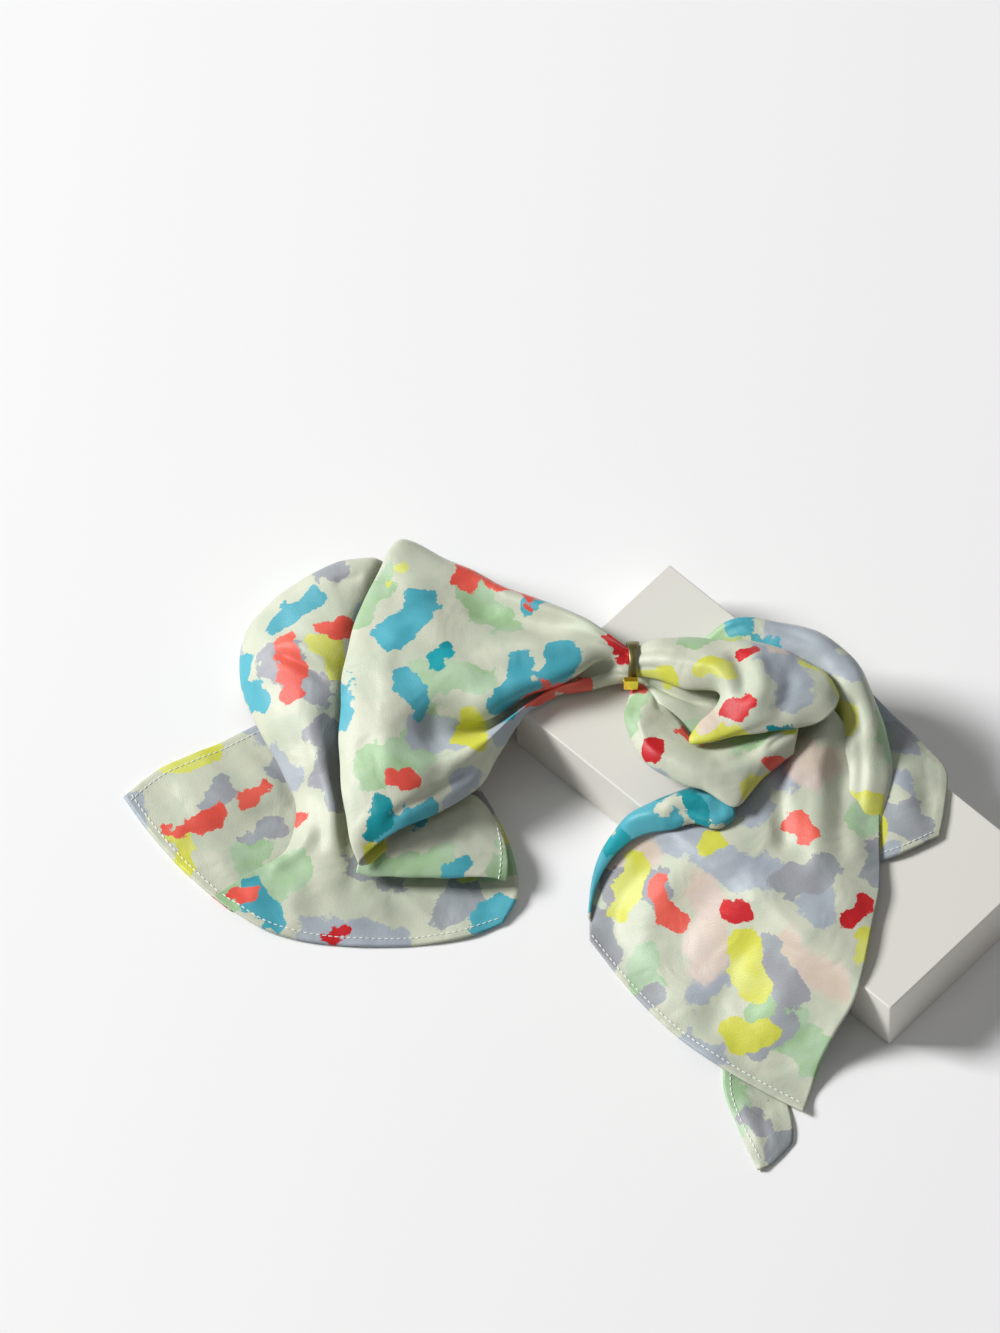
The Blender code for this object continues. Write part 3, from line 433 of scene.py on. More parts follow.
# %% Creases of each stretch: depth mm, half width mm, path of (rib, column)
CREASES = {
    "left_front_panel": [
        (-3.8, 3.6, (9.8, 5.9), (9.2, 6.0), (8.6, 6.0), (7.6, 5.8), (6.6, 5.8), (5.6, 6.0), (4.9, 6.2)),
        (1.8, 5.0, (8.8, 4.9), (7.6, 4.8), (6.4, 4.7), (5.4, 4.9)),
        (-1.6, 3.0, (3.4, 8.6), (4.2, 8.3), (5.2, 8.1), (6.2, 8.0)),
        (-2.6, 7.0, (4.8, 2.9), (5.5, 3.0), (6.1, 3.05), (7, 3), (7.7, 3), (8.5, 2.8)),
        (1.6, 5.0, (9.9, 3.4), (8.6, 3.8), (7, 3.8), (5.6, 3.9)),
        (-1.6, 6.0, (4.6, 5.2), (4.7, 6.2), (4.9, 7.2), (4.8, 8.2)),
        (1.2, 6.0, (3.5, 3.6), (3.6, 5), (3.7, 6.4), (3.7, 7.8)),
        (-1.1, 1.5, (10, 2.2), (9.4, 2.3), (8.6, 2.5)), (-1.1, 1.3, (10, 3.4), (9.5, 3.6), (8.7, 3.7)),
        (-0.8, 1.2, (10, 6.6), (9.4, 6.8), (8.8, 6.9)), (-0.9, 3.0, (7, 7.4), (6, 7.6), (5, 7.9)),
        (-1.4, 5.0, (3, 0.6), (5, 0.7), (7, 0.8)),
    ],
    "left_body": [
        (-2.2, 2.6, (4.1, 3.4), (4.25, 4.1), (4.4, 4.9), (4.75, 6.1)),
        (1.4, 3.0, (3.9, 3.6), (4.1, 4.9), (4.5, 6.1)),
        (-1.3, 2.2, (2.7, 4.6), (2.6, 5.1), (2.5, 6.0)), (1.6, 4.0, (7.6, 3.2), (8.4, 2.5), (9.1, 2.0)),
        (1.6, 6.0, (4.8, 4.6), (6, 4.8), (7.5, 5), (8.8, 4.8)),
        (-1.6, 5.0, (5.2, 3.6), (6.4, 3.8), (7.6, 4), (8.8, 3.6)),
        (-1.2, 4.0, (6, 5.6), (7.2, 5.8), (8.6, 5.6), (9.8, 5)), (1.2, 6.0, (9, 3.4), (10, 3.6), (11, 4)),
        (-1.1, 7.0, (9.6, 6), (10.2, 7), (10.6, 8)), (0.9, 5.0, (9.4, 2.4), (10.2, 2.4), (10.9, 2.2)),
    ],
    "left_tail": [
        (1.4, 8.0, (0.3, 1.2), (1, 2.2), (1.8, 3.4)), (-1.2, 7.0, (1.2, 0.6), (1.8, 1.6), (2.6, 2.8)),
        (-0.9, 4.0, (0.2, 3.5), (1.2, 4.2), (2, 4.6)),
    ],
    "left_middle_fold": [(-1.1, 4.0, (1.4, 3), (2.6, 3.4), (3.8, 3.4)),
                         (0.9, 4.0, (1.2, 4.2), (2.6, 4.4), (4, 4.2))],
    "right_lobe": [
        (-0.7, 1.8, (0, 2.1), (0.6, 2.1), (1.2, 2.2), (1.7, 2.3)),
        (-0.6, 1.5, (0, 3.8), (0.6, 3.8), (1.2, 3.9)),
        (-2.6, 4.0, (4.1, 1.6), (4.5, 2.6), (4.8, 3.6)), (1.6, 4.0, (5, 1.6), (5.4, 2.6), (5.7, 3.6)),
        (-1.6, 4.5, (6.3, 1.6), (6.6, 2.6), (6.8, 3.6)), (0.7, 2.5, (1, 3), (2, 3.1), (3, 3.4)),
    ],
    "right_back_band": [
        (-1.4, 3.0, (0.2, 2), (1.4, 2.1), (2.6, 2.1), (3.6, 2.2)),
        (-1.2, 3.0, (4.6, 1.6), (6, 1.5), (7.6, 1.4), (9, 1.4)),
        (1.2, 3.5, (4.2, 2.5), (6, 2.4), (8, 2.3)),
    ],
    "right_inner_roll": [
        (-1.1, 1.5, (0.4, 0), (1.4, 0.3), (2.5, 0.3)), (-0.8, 2.0, (1, 2), (2, 2.2), (3, 2.2)),
        (-1.2, 3.5, (5.6, 1.2), (7, 1.3), (8.4, 1.2)), (-1.3, 2.0, (8.4, 1.8), (9.2, 1.7), (9.9, 1.7)),
    ],
    "right_leaf": [
        (-1.5, 3.0, (0.3, 2.5), (1, 2.4), (2, 2.5), (3.2, 2.6)),
        (1.2, 3.0, (0.5, 1.6), (1.6, 1.5), (3.0, 1.6)),
        (-1.0, 2.2, (0.1, 1.4), (0.8, 1.3), (1.6, 1.1)), (0.8, 3.0, (3.0, 2.2), (3.8, 2.0), (4.6, 1.8)),
    ],
    "right_loop_inside": [
        (-3.1, 1.6, (0.2, 1.5), (1, 1.6), (2, 1.9), (3, 2.3)), (1.7, 2.0, (0.3, 2), (1.2, 2.1), (2.2, 2.4)),
        (-2.2, 1.5, (0.2, 0.8), (1, 0.7), (2.2, 0.7)), (-2.0, 2.5, (0.4, 2.6), (1.4, 2.7), (2.6, 2.8)),
    ],
    "right_front_tail": [
        (-2.8, 5.0, (1.6, 0.5), (2.6, 0.9), (3.6, 1.3), (4.6, 1.6)),
        (2.3, 6.0, (0.4, 1.3), (1.8, 1.8), (3.2, 2.2), (4.8, 2.4)),
        (-1.6, 5.0, (0.6, 2.2), (2, 2.7), (3.6, 3)), (-1.6, 9.0, (5, 1.6), (8, 1.6), (11, 1.5)),
        (1.6, 9.0, (5, 3), (8.5, 3.1), (12, 3.2)), (-1.4, 6.0, (8.2, 0.7), (10, 0.5), (11.6, 0.5)),
        (1.2, 7.0, (7, 0.9), (9, 1), (11.5, 1.0)), (-1.1, 6.0, (8, 2.4), (10, 2.4), (12, 2.3)),
    ],
    "right_tip": [(-0.9, 3.0, (0.6, 1.8), (2, 1.7), (3.4, 1.6)),
                  (0.7, 3.0, (0.8, 0.9), (2, 0.9), (3.6, 1.1))],
    "right_rear_tail": [(0.9, 6.0, (0.6, 0.6), (1.6, 1), (2.6, 1.4)),
                        (-0.7, 4.0, (0.6, 1.8), (1.8, 2), (2.8, 2.2))],
}
CREASE_FADE = 0.25        # share of a crease's length over which it fades at each end
# long soft waves over all the silk: height mm, turn per mm of x and of y, phase
RIPPLES = ((0.42, 0.13, 0.05, 0.4), (0.28, -0.09, 0.21, 1.9), (0.15, 0.31, 0.17, 3.1))


def press(grid, size, creases, up):
    """Moves points along the outward normal: depth * exp(-(distance/width)^2), faded at the ends."""
    n = normals(grid) * up
    rise = np.zeros(grid.shape[:2])
    for depth, width, *path in creases:
        gap, along = distance(grid, trace(grid, size, path))
        fade = np.clip(np.minimum(along, 1 - along) / CREASE_FADE, 0, 1)
        rise += depth * np.exp(-(gap / width) ** 2) * fade * fade * (3 - 2 * fade)
    for high, a, b, phase in RIPPLES:
        rise += high * np.sin(a * grid[..., 0] + b * grid[..., 1] + phase)
    return grid + n * rise[..., None]


# %% [markdown]
# ## The print
# The silk carries a camouflage-like print of watercolour blotches, nine inks over a pale ground. It
# could be painted on an image or left to a noise texture, but noise alone gives even spots and no
# brush marks. Instead the print is designed afresh: each stretch gets a palette, and short bent
# strokes of those inks are strewn over it by a seeded draw. Each ink gets an attribute that holds how
# far inside its nearest stroke a point is, and the material makes the ragged edges from it.

# %% Palette of each stretch: how many strokes of each ink
PALETTES = {
    "left_front_panel": {"sage": 8, "lavender": 3, "yellow": 3, "turquoise": 9, "teal": 3, "coral": 4,
                         "scarlet": 2},
    "left_body": {"sage": 4, "lavender": 6, "grey": 7, "yellow": 2, "turquoise": 4, "coral": 6,
                  "scarlet": 3},
    "left_tail": {"sage": 1, "lavender": 2, "grey": 3, "yellow": 2, "coral": 2, "scarlet": 1},
    "left_middle_fold": {"sage": 2, "yellow": 1, "turquoise": 2},
    "right_lobe": {"sage": 1, "lavender": 1, "peach": 2, "yellow": 6, "teal": 1, "scarlet": 2},
    "right_back_band": {"sage": 3, "lavender": 2, "yellow": 3, "turquoise": 3, "scarlet": 1},
    "right_inner_roll": {"sage": 2, "lavender": 1, "yellow": 2, "coral": 3, "scarlet": 1},
    "right_loop_inside": {"sage": 1, "yellow": 2},
    "right_leaf": {"turquoise": 12, "teal": 3},
    "right_front_tail": {"sage": 3, "lavender": 6, "peach": 4, "grey": 8, "yellow": 5, "coral": 2,
                         "scarlet": 2},
    "right_tip": {"sage": 1, "grey": 2},
    "right_rear_tail": {"lavender": 3, "grey": 2, "yellow": 1},
}
# smallest and largest radius of a stroke of each ink, mm
BLOTS = {
    "sage": (7, 12), "lavender": (6, 11), "peach": (7, 11), "grey": (5, 10), "yellow": (5, 8.5),
    "turquoise": (5, 9), "teal": (4, 6.5), "coral": (4, 7), "scarlet": (3, 5.5),
}
INKS = tuple(BLOTS)
FAR_OUT = -40.0           # depth given where an ink has no stroke near, mm
PRINT_DRAWS = np.random.default_rng(7)
TRIES = 12                # starts tried for each stroke
STROKE_STEPS = 2          # steps after a stroke's start
STROKE_STEP = 1.5         # length of a step, in radii
STROKE_BEND = 0.9         # largest turn at each step, radians


def strewn(grid, palette):
    """Of a few starts drawn by area the farthest from the rest is kept, and bent steps follow it."""
    share = np.linalg.norm(np.cross(np.gradient(grid, axis=0), np.gradient(grid, axis=1)), axis=2).ravel()
    spots = grid.reshape(-1, 3)
    starts, strokes = [], []
    for ink, count in palette.items():
        for _ in range(count):
            tries = PRINT_DRAWS.choice(len(spots), TRIES, p=share / share.sum())
            if starts:
                gaps = np.linalg.norm(spots[tries][:, None] - spots[starts][None], axis=2).min(1)
                tries = tries[gaps.argmax():]
            starts.append(tries[0])
            radius = PRINT_DRAWS.uniform(*BLOTS[ink])
            way = PRINT_DRAWS.uniform(0, 2 * math.pi) + np.cumsum(
                PRINT_DRAWS.uniform(-STROKE_BEND, STROKE_BEND, STROKE_STEPS))
            steps = np.stack([np.cos(way), np.sin(way)], -1) * radius * STROKE_STEP / CLOTH_STEP
            path = np.unravel_index(tries[0],
                                    grid.shape[:2]) + np.concatenate([[[0, 0]], np.cumsum(steps, 0)])
            i, j = np.clip(path.round().astype(int), 0, np.array(grid.shape[:2]) - 1).T
            strokes.append((ink, radius, grid[i, j]))
    return strokes


def ink_depth(grid, strokes):
    """Depth inside each ink: the largest of (radius - distance) over its strokes."""
    depth = {ink: np.full(grid.shape[:2], FAR_OUT) for ink in INKS}
    for ink, radius, line in strokes:
        depth[ink] = np.maximum(depth[ink], radius - distance(grid, line)[0])
    return depth


# %% [markdown]
# ## A thin shell with hems
# Real silk is about 0.1 mm thick, and a double-turned hem about 5 mm wide stands a little proud of
# it. A Solidify modifier could thicken a sheet, but the hem needs a thickness that changes, so both
# faces are worked out from the grid and joined along the rim. The raw edge is closed, and the shell
# stands clear of the floor.

# %% Turn a grid into a closed shell, thicker along its hems
# all in mm
SILK_THICK = 0.45         # whole thickness of the shell
HEM_WIDE = 5.0
HEM_PROUD = 0.32          # what the hem adds to each face
STITCH_IN = 4.2           # distance of the stitch line from the edge
STITCH_SINK = 0.16        # depth of the groove under the stitches
GROOVE_WIDE = 0.6
HEM_STEP = 0.7            # how wide the hem's own step is
FLOOR_GAP = 0.05          # the cloth's underside above the floor
HEMS = {
    "left_body": ("last_rib",), "left_tail": ("first_rib", "first_column"),
    "left_middle_fold": ("last_rib",),
    "right_front_tail": ("last_rib",), "right_tip": ("first_column", "last_column"),
    "right_rear_tail": ("last_rib", "first_rib", "last_column"),
}


def from_edge(grid, side):
    """Running length from one side of the grid."""
    axis = 0 if side.endswith("rib") else 1
    run = lengths(grid, axis)
    if side.startswith("first"):
        return run
    return (run[-1:] if axis == 0 else run[:, -1:]) - run


def thickness(grid, hems):
    """Half thickness: silk plus the hem's step, less a bell-shaped groove under the stitches."""
    half = np.full(grid.shape[:2], SILK_THICK / 2)
    for side in hems:
        d = from_edge(grid, side)
        step = np.clip((HEM_WIDE - d) / HEM_STEP + 0.5, 0, 1)
        half = np.maximum(half, SILK_THICK / 2 + HEM_PROUD * step * step * (3 - 2 * step)
                          - STITCH_SINK * np.exp(-((d - STITCH_IN) / GROOVE_WIDE) ** 2))
    return half


def shell_faces(rows, cols):
    """Quads of the upper grid, of the lower grid turned over, and of the rim between them."""
    index = np.arange(rows * cols).reshape(rows, cols)
    under = index + rows * cols
    top = np.stack([index[:-1, :-1], index[1:, :-1], index[1:, 1:], index[:-1, 1:]], -1).reshape(-1, 4)
    low = np.stack([under[:-1, :-1], under[:-1, 1:], under[1:, 1:], under[1:, :-1]], -1).reshape(-1, 4)
    loop = np.concatenate([index[:-1, 0], index[-1, :-1], index[:0:-1, -1], index[0, :0:-1]])
    after = np.roll(loop, -1)
    rim = np.stack([after, loop, loop + rows * cols, after + rows * cols], -1)
    return np.concatenate([top, low, rim]).tolist()


def make_mesh(name, points_mm, faces, flat=False):
    """A mesh object at the origin, its points carried into the frame."""
    mesh = bpy.data.meshes.new(name)
    mesh.from_pydata(metres(points_mm).tolist(), [], faces)
    mesh.polygons.foreach_set("use_smooth", np.full(len(mesh.polygons), not flat))
    mesh.update()
    obj = bpy.data.objects.new(name, mesh)
    bpy.context.scene.collection.objects.link(obj)
    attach(obj, "root")
    return obj


def dress(obj, depth, uv):
    """Gives every vertex its depth in each ink and its place on the cloth, in metres, as the UV map."""
    for ink in INKS:
        values = depth[ink].ravel().astype(np.float32)
        obj.data.attributes.new("ink_" + ink, "FLOAT", "POINT").data.foreach_set("value", values)
    corner = np.empty(len(obj.data.loops), np.int32)
    obj.data.loops.foreach_get("vertex_index", corner)
    layer = obj.data.uv_layers.new(name="cloth")
    layer.data.foreach_set("uv", uv[corner].astype(np.float32).ravel())
    obj.data.materials.append(SILK)


def cloth(name, grid, up):
    """Faces at grid + normal * half thickness and grid - normal * half thickness, dressed in silk."""
    depth = ink_depth(grid, strewn(grid, PALETTES[name]))
    if up < 0:
        grid = grid[::-1]
        depth = {ink: layer[::-1] for ink, layer in depth.items()}
    out = normals(grid) * thickness(grid, HEMS.get(name, ()))[..., None]
    top, low = grid + out, grid - out
    top[..., 2] = np.maximum(top[..., 2], 2 * FLOOR_GAP + SILK_THICK)
    low[..., 2] = np.clip(low[..., 2], FLOOR_GAP, None)
    obj = make_mesh(name + "_silk", np.concatenate([top.reshape(-1, 3), low.reshape(-1, 3)]),
                    shell_faces(*grid.shape[:2]))
    uv = np.stack([lengths(grid, 0), lengths(grid, 1)], -1).reshape(-1, 2) * 0.001
    dress(obj, {ink: np.tile(layer.ravel(), 2) for ink, layer in depth.items()}, np.tile(uv, (2, 1)))
    return obj, top


# %% [markdown]
# ## Stitches
# The hem is held by one row of white lockstitch. Each stitch is a tiny bead of thread that sinks at
# both ends. One bead of a few faces is worked out once and copied along the stitch line as an array,
# which keeps hundreds of stitches light.

# %% A bead of thread, and rows of it along a hem
STITCH_PITCH = 3.1
STITCH_LONG = 2.3
STITCH_WIDE = 0.6
STITCH_LIFT = 0.22        # how far a bead stands out, in widths


def bead():
    """Rings of six points; a ring's radius is the square root of 1 - (1.9t)^2, for t from -0.5 to 0.5."""
    t = np.linspace(-0.5, 0.5, 6)
    turn = np.arange(6) * math.pi / 3
    radius = np.sqrt(np.clip(1 - (1.9 * t) ** 2, 0.05, 1)) * STITCH_WIDE / 2
    ring = np.stack([np.cos(turn), np.sin(turn)], -1)
    points = np.concatenate([np.column_stack([np.full(6, s * STITCH_LONG), ring * r]) for s,
                             r in zip(t, radius)])
    k = np.arange(6)
    quads = np.concatenate([np.stack([6 * j + k, 6 * j + (k + 1) % 6, 6 * j + 6 + (k + 1) % 6,
                                      6 * j + 6 + k], -1)
                            for j in range(5)])
    caps = [[5, 4, 3, 2, 1, 0], [30, 31, 32, 33, 34, 35]]
    return points, quads, caps


def stitch_row(top, side):
    """Centres a stitch apart on the line STITCH_IN from a side, with the line's own directions."""
    grid = top if side.endswith("rib") else np.swapaxes(top, 0, 1)
    if side.startswith("last"):
        grid = grid[::-1]
    run = lengths(grid, 0)
    row = np.array([[np.interp(STITCH_IN, run[:, j],
                               grid[:, j, k]) for k in range(3)] for j in range(grid.shape[1])])
    outward = normals(top) if side.endswith("rib") else np.swapaxes(normals(top), 0, 1)
    outward = (outward[::-1] if side.startswith("last") else outward)[2]
    along = np.concatenate([[0], np.cumsum(np.linalg.norm(np.diff(row, axis=0), axis=1))])
    at = np.arange(STITCH_PITCH, along[-1] - STITCH_IN, STITCH_PITCH)
    centre, ahead, n = (np.stack([np.interp(w, along, v[:, k]) for k in range(3)], -1)
                        for w, v in ((at, row), (at + 0.5, row), (at, outward)))
    way = ahead - centre
    way /= np.linalg.norm(way, axis=1, keepdims=True)
    n -= way * (n * way).sum(1, keepdims=True)
    return centre, way, n / np.linalg.norm(n, axis=1, keepdims=True)


def stitches(name, top, sides):
    """All rows of one stretch as one mesh: centre + along * x + across * y + normal * z."""
    base, quads, caps = bead()
    points, faces = [], []
    for side in sides:
        centre, way, n = stitch_row(top, side)
        across = np.cross(n, way)
        axes = np.stack([way, across, n], 1)
        lifted = centre + n * STITCH_WIDE * STITCH_LIFT
        made = lifted[:, None] + np.einsum("pk,skd->spd", base, axes)
        for copy in made:
            offset = 36 * len(points)
            points.append(copy)
            faces += (quads + offset).tolist() + [[i + offset for i in cap] for cap in caps]
    obj = make_mesh(name, np.concatenate(points), faces)
    print(f"{name}: {len(points)} stitches")
    return obj


# %% [markdown]
# ## Silk: ink, weave and sheen
# The material reads the ink attributes. Each ink's depth in millimetres is shaken by a fractal noise
# on Object coordinates, so its edge turns ragged like dye creeping along threads, and a steep ramp
# cuts it into ink or no ink. The inks are then laid over the ground from palest to strongest. A fine
# crepe bump and some sheen give the soft satin look. Object coordinates keep the ragged edge even
# where two stretches meet.

# %% Small helpers for node trees
def srgb(red, green, blue):
    """Linear colour of a 0-255 swatch: ((c + 0.055) / 1.055)^2.4, or c / 12.92 where it is dark."""
    c = np.array([red, green, blue]) / 255
    linear = np.where(c <= 0.04045, c / 12.92, ((c + 0.055) / 1.055) ** 2.4)
    return (*[float(v) for v in linear], 1.0)


def new_material(name, roughness, **sockets):
    """A material with its Principled shader's plain values set on the shader's own sockets."""
    material = bpy.data.materials.new(name)
    material.use_nodes = True
    shader = material.node_tree.nodes["Principled BSDF"]
    shader.inputs["Roughness"].default_value = roughness
    for socket, value in sockets.items():
        shader.inputs[socket.replace("_", " ")].default_value = value
    return material, material.node_tree, shader


def node(tree, kind, inputs=None, **settings):
    """Adds a node, sets its properties, and feeds its inputs with values or other nodes' outputs."""
    made = tree.nodes.new(kind)
    for key, value in settings.items():
        setattr(made, key, value)
    for key, value in (inputs or {}).items():
        if isinstance(value, bpy.types.NodeSocket):
            tree.links.new(value, made.inputs[key])
        else:
            made.inputs[key].default_value = value
    return made


def maths(tree, operation, a, b):
    """One Math node's output."""
    return node(tree, "ShaderNodeMath", {0: a, 1: b}, operation=operation).outputs[0]


def layered(tree, share, below, above):
    """Colour mix: below where share is 0, above where it is 1."""
    mixed = node(tree, "ShaderNodeMix", {"Factor": share, 6: below, 7: above}, data_type="RGBA")
    return mixed.outputs[2]


def noise(tree, place, scale, detail):
    """Fractal noise between 0 and 1."""
    return node(tree, "ShaderNodeTexNoise",
                {"Vector": place, "Scale": scale, "Detail": detail}).outputs["Fac"]


def bumped(tree, shader, height, strength, deep):
    """The shader's normal follows a height."""
    bump = node(tree, "ShaderNodeBump", {"Height": height, "Strength": strength, "Distance": deep})
    tree.links.new(bump.outputs[0], shader.inputs["Normal"])


def two_toned(name, roughness, scale, detail, tones, **sockets):
    """A finish whose base colour wanders between two tones by one noise on Object coordinates."""
    material, tree, shader = new_material(name, roughness, **sockets)
    place = node(tree, "ShaderNodeTexCoord").outputs["Object"]
    wander = noise(tree, place, scale, detail)
    ramp = node(tree, "ShaderNodeValToRGB", {"Fac": wander})
    for element, tone in zip(ramp.color_ramp.elements, tones):
        element.color = srgb(*tone)
    tree.links.new(ramp.outputs[0], shader.inputs["Base Color"])
    return material, tree, shader, place, wander


# %% The silk itself
GROUND = srgb(200, 203, 183)
# ink: colour, second tone, edge softness in mm, how far the noise shakes the edge in mm
INK_TONES = {
    "sage": (srgb(156, 189, 144), srgb(170, 196, 164), 0.5, 7.0),
    "lavender": (srgb(168, 177, 184), srgb(162, 169, 179), 0.9, 8.0),
    "peach": (srgb(206, 190, 173), srgb(210, 194, 184), 2.5, 6.0),
    "grey": (srgb(157, 163, 167), srgb(152, 153, 159), 0.35, 7.0),
    "yellow": (srgb(203, 204, 72), srgb(209, 212, 110), 0.35, 6.0),
    "turquoise": (srgb(80, 169, 185), srgb(64, 156, 172), 0.25, 7.0),
    "teal": (srgb(0, 140, 150), srgb(16, 156, 168), 0.3, 6.0),
    "coral": (srgb(218, 78, 64), srgb(228, 96, 80), 0.25, 7.0),
    "scarlet": (srgb(190, 18, 28), srgb(208, 30, 34), 0.3, 5.0),
}
SHAKE_GAIN = 2.4          # brings the noise's usual swing up to about one
FINE_SHARE = 0.42         # strength of the fine raggedness against the coarse wandering


def edge_noises(tree, place):
    """Nine channels of fractal noise: three colour noises of different scale, centred on zero."""
    found = []
    for shift in ((0, 0, 0), (3.1, 1.7, 5.9), (7.3, 4.1, 2.2)):
        moved = node(tree, "ShaderNodeVectorMath", {0: place, 1: shift}, operation="ADD").outputs[0]
        coarse = node(tree, "ShaderNodeTexNoise", {"Vector": moved, "Scale": 85, "Detail": 1.0})
        fine = node(tree, "ShaderNodeTexNoise",
                    {"Vector": moved, "Scale": 330, "Detail": 4.0, "Roughness": 0.66})
        both = [node(tree, "ShaderNodeSeparateColor",
                     {"Color": n.outputs["Color"]}).outputs for n in (coarse, fine)]
        for wide, small in zip(*both):
            total = maths(tree, "ADD", wide, maths(tree, "MULTIPLY", small, FINE_SHARE))
            found.append(maths(tree, "SUBTRACT", total, 0.5 + 0.5 * FINE_SHARE))
    return found


def print_layers(tree, place):
    """Ground colour, then each ink over it where depth + noise * shake rises past zero."""
    noises = edge_noises(tree, place)
    tone = node(tree, "ShaderNodeTexNoise", {"Vector": place, "Scale": 42, "Detail": 2.0}).outputs["Fac"]
    tone_share = node(tree, "ShaderNodeMapRange", {0: tone, 1: 0.42, 2: 0.6},
                      interpolation_type="SMOOTHSTEP").outputs[0]
    colour = layered(tree, tone_share, GROUND, srgb(190, 197, 177))
    for ink, shiver in zip(INKS, noises):
        deep, light, soft, shake = INK_TONES[ink]
        depth = node(tree, "ShaderNodeAttribute", attribute_name="ink_" + ink).outputs["Fac"]
        shaken = maths(tree, "ADD", depth, maths(tree, "MULTIPLY", shiver, shake * SHAKE_GAIN))
        share = node(tree, "ShaderNodeMapRange", {0: shaken, 1: -soft, 2: soft},
                     interpolation_type="SMOOTHSTEP").outputs[0]
        swatch = layered(tree, tone_share, deep, light)
        colour = layered(tree, share, colour, swatch)
    return colour


def silk_material():
    """Print on the base colour, crepe and thread bump on the normal, sheen for the nap of light."""
    material, tree, shader = new_material("printed_silk", 0.46, Sheen_Weight=0.22, Sheen_Roughness=0.35,
                                          Specular_IOR_Level=0.42)
    place = node(tree, "ShaderNodeTexCoord").outputs["Object"]
    grain = node(tree, "ShaderNodeTexNoise", {"Vector": place, "Scale": 1500, "Detail": 2.0}).outputs["Fac"]
    dye = node(tree, "ShaderNodeMapRange", {0: grain, 3: 0.93, 4: 1.06}).outputs[0]
    colour = print_layers(tree, place)
    worked = node(tree, "ShaderNodeVectorMath",
                  {0: colour, 1: node(tree, "ShaderNodeCombineXYZ", {0: dye, 1: dye, 2: dye}).outputs[0]},
                  operation="MULTIPLY").outputs[0]
    tree.links.new(worked, shader.inputs["Base Color"])
    cloth_uv = node(tree, "ShaderNodeUVMap", uv_map="cloth").outputs[0]
    thread = node(tree, "ShaderNodeTexWave",
                  {"Vector": cloth_uv, "Scale": 420, "Distortion": 2.0, "Detail": 2.0},
                  bands_direction="DIAGONAL").outputs["Fac"]
    slack = node(tree, "ShaderNodeTexNoise",
                 {"Vector": place, "Scale": 38, "Detail": 2.0, "Distortion": 0.6}).outputs["Fac"]
    handled = node(tree, "ShaderNodeBump", {"Height": slack, "Strength": 0.5, "Distance": 0.0035})
    crepe = node(tree, "ShaderNodeBump",
                 {"Height": grain, "Strength": 0.34, "Distance": 0.0005, "Normal": handled.outputs[0]})
    weave = node(tree, "ShaderNodeBump",
                 {"Height": thread, "Strength": 0.08, "Distance": 0.0002, "Normal": crepe.outputs[0]})
    tree.links.new(weave.outputs[0], shader.inputs["Normal"])
    return material


SILK = silk_material()
print("silk material:", len(SILK.node_tree.nodes), "nodes")

# %% White thread
THREAD = two_toned("white_thread", 0.55, 2500, 1.0, ((226, 228, 224), (250, 250, 246)), Sheen_Weight=0.3)[0]

# %% [markdown]
# ## Sewing it together
# Every stretch goes through the same steps: loft, press in the creases, make the shell, lay the silk
# on it, and let it stand for its plain CAD solid. The flat size of each stretch is the cut of cloth
# that shows there, measured along the cloth.

# %% Make every stretch of cloth
# name: table, which way is out, flat width and length in mm, what it rests on
STRETCHES = {
    "left_front_panel": (LEFT_PANEL, -1, (170, 160), ("left_hidden_layers", "ring_band")),
    "left_body": (LEFT_BODY, 1, (245, 110), ("left_tail", "left_hidden_layers")),
    "left_tail": (LEFT_TAIL, 1, (86, 84), ("floor",)),
    "left_middle_fold": (LEFT_MIDDLE, 1, (67, 60), ("left_body",)),
    "right_lobe": (RIGHT_LOBE, -1, (114, 66), ("right_hidden_layers",)),
    "right_back_band": (RIGHT_BAND, 1, (148, 42), ("display_box", "right_hidden_layers")),
    "right_inner_roll": (RIGHT_ROLL, -1, (120, 40), ("display_box", "right_hidden_layers")),
    "right_loop_inside": (RIGHT_INSIDE, 1, (52, 34), ("display_box",)),
    "right_leaf": (RIGHT_LEAF, 1, (96, 22), ("right_front_tail",)),
    "right_front_tail": (RIGHT_TAIL, 1, (180, 110), ("display_box",)),
    "right_tip": (RIGHT_TIP, 1, (52, 28), ("floor",)),
    "right_rear_tail": (REAR_TAIL, 1, (68, 28), ("display_box",)),
}
STITCHED = {
    "left_body": ("last_rib",), "left_tail": ("first_column", "first_rib"),
    "right_front_tail": ("last_rib",),
    "right_tip": ("first_column",), "right_rear_tail": ("last_rib",), "left_middle_fold": ("last_rib",),
}
for name, (table, up, flat, rests) in STRETCHES.items():
    size = (len(table), TAIL_STATIONS if name == "right_front_tail" else len(list(table.values())[0]))
    grid = loft_tail(table) if name == "right_front_tail" else loft(table)
    grid = press(grid, size, CREASES.get(name, ()), up)
    piece, top = cloth(name, grid, up)
    if name != "right_loop_inside":
        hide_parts(name)
    area = sum(p.area for p in piece.data.polygons) / 2 * 1e6
    print(f"{name}: grid {grid.shape[0]} x {grid.shape[1]}, "
          f"{lengths(grid, 0)[-1].mean():.0f} x {lengths(grid, 1)[:, -1].mean():.0f} mm, "
          f"area {area:.0f} mm2, {area / flat[0] / flat[1]:.2f} of its cut")
    if name in STITCHED:
        row = stitches(name + "_stitches", top, STITCHED[name])
        row.data.materials.append(THREAD)

# %% [markdown]
# ## The layers under the folds
# Most of the square is folded out of sight inside each half. Each of those heaps is one rounded
# solid, but it would look like a pebble if it peeped out, so its side is worked into the stepped
# edges of folded layers and it wears the same silk.

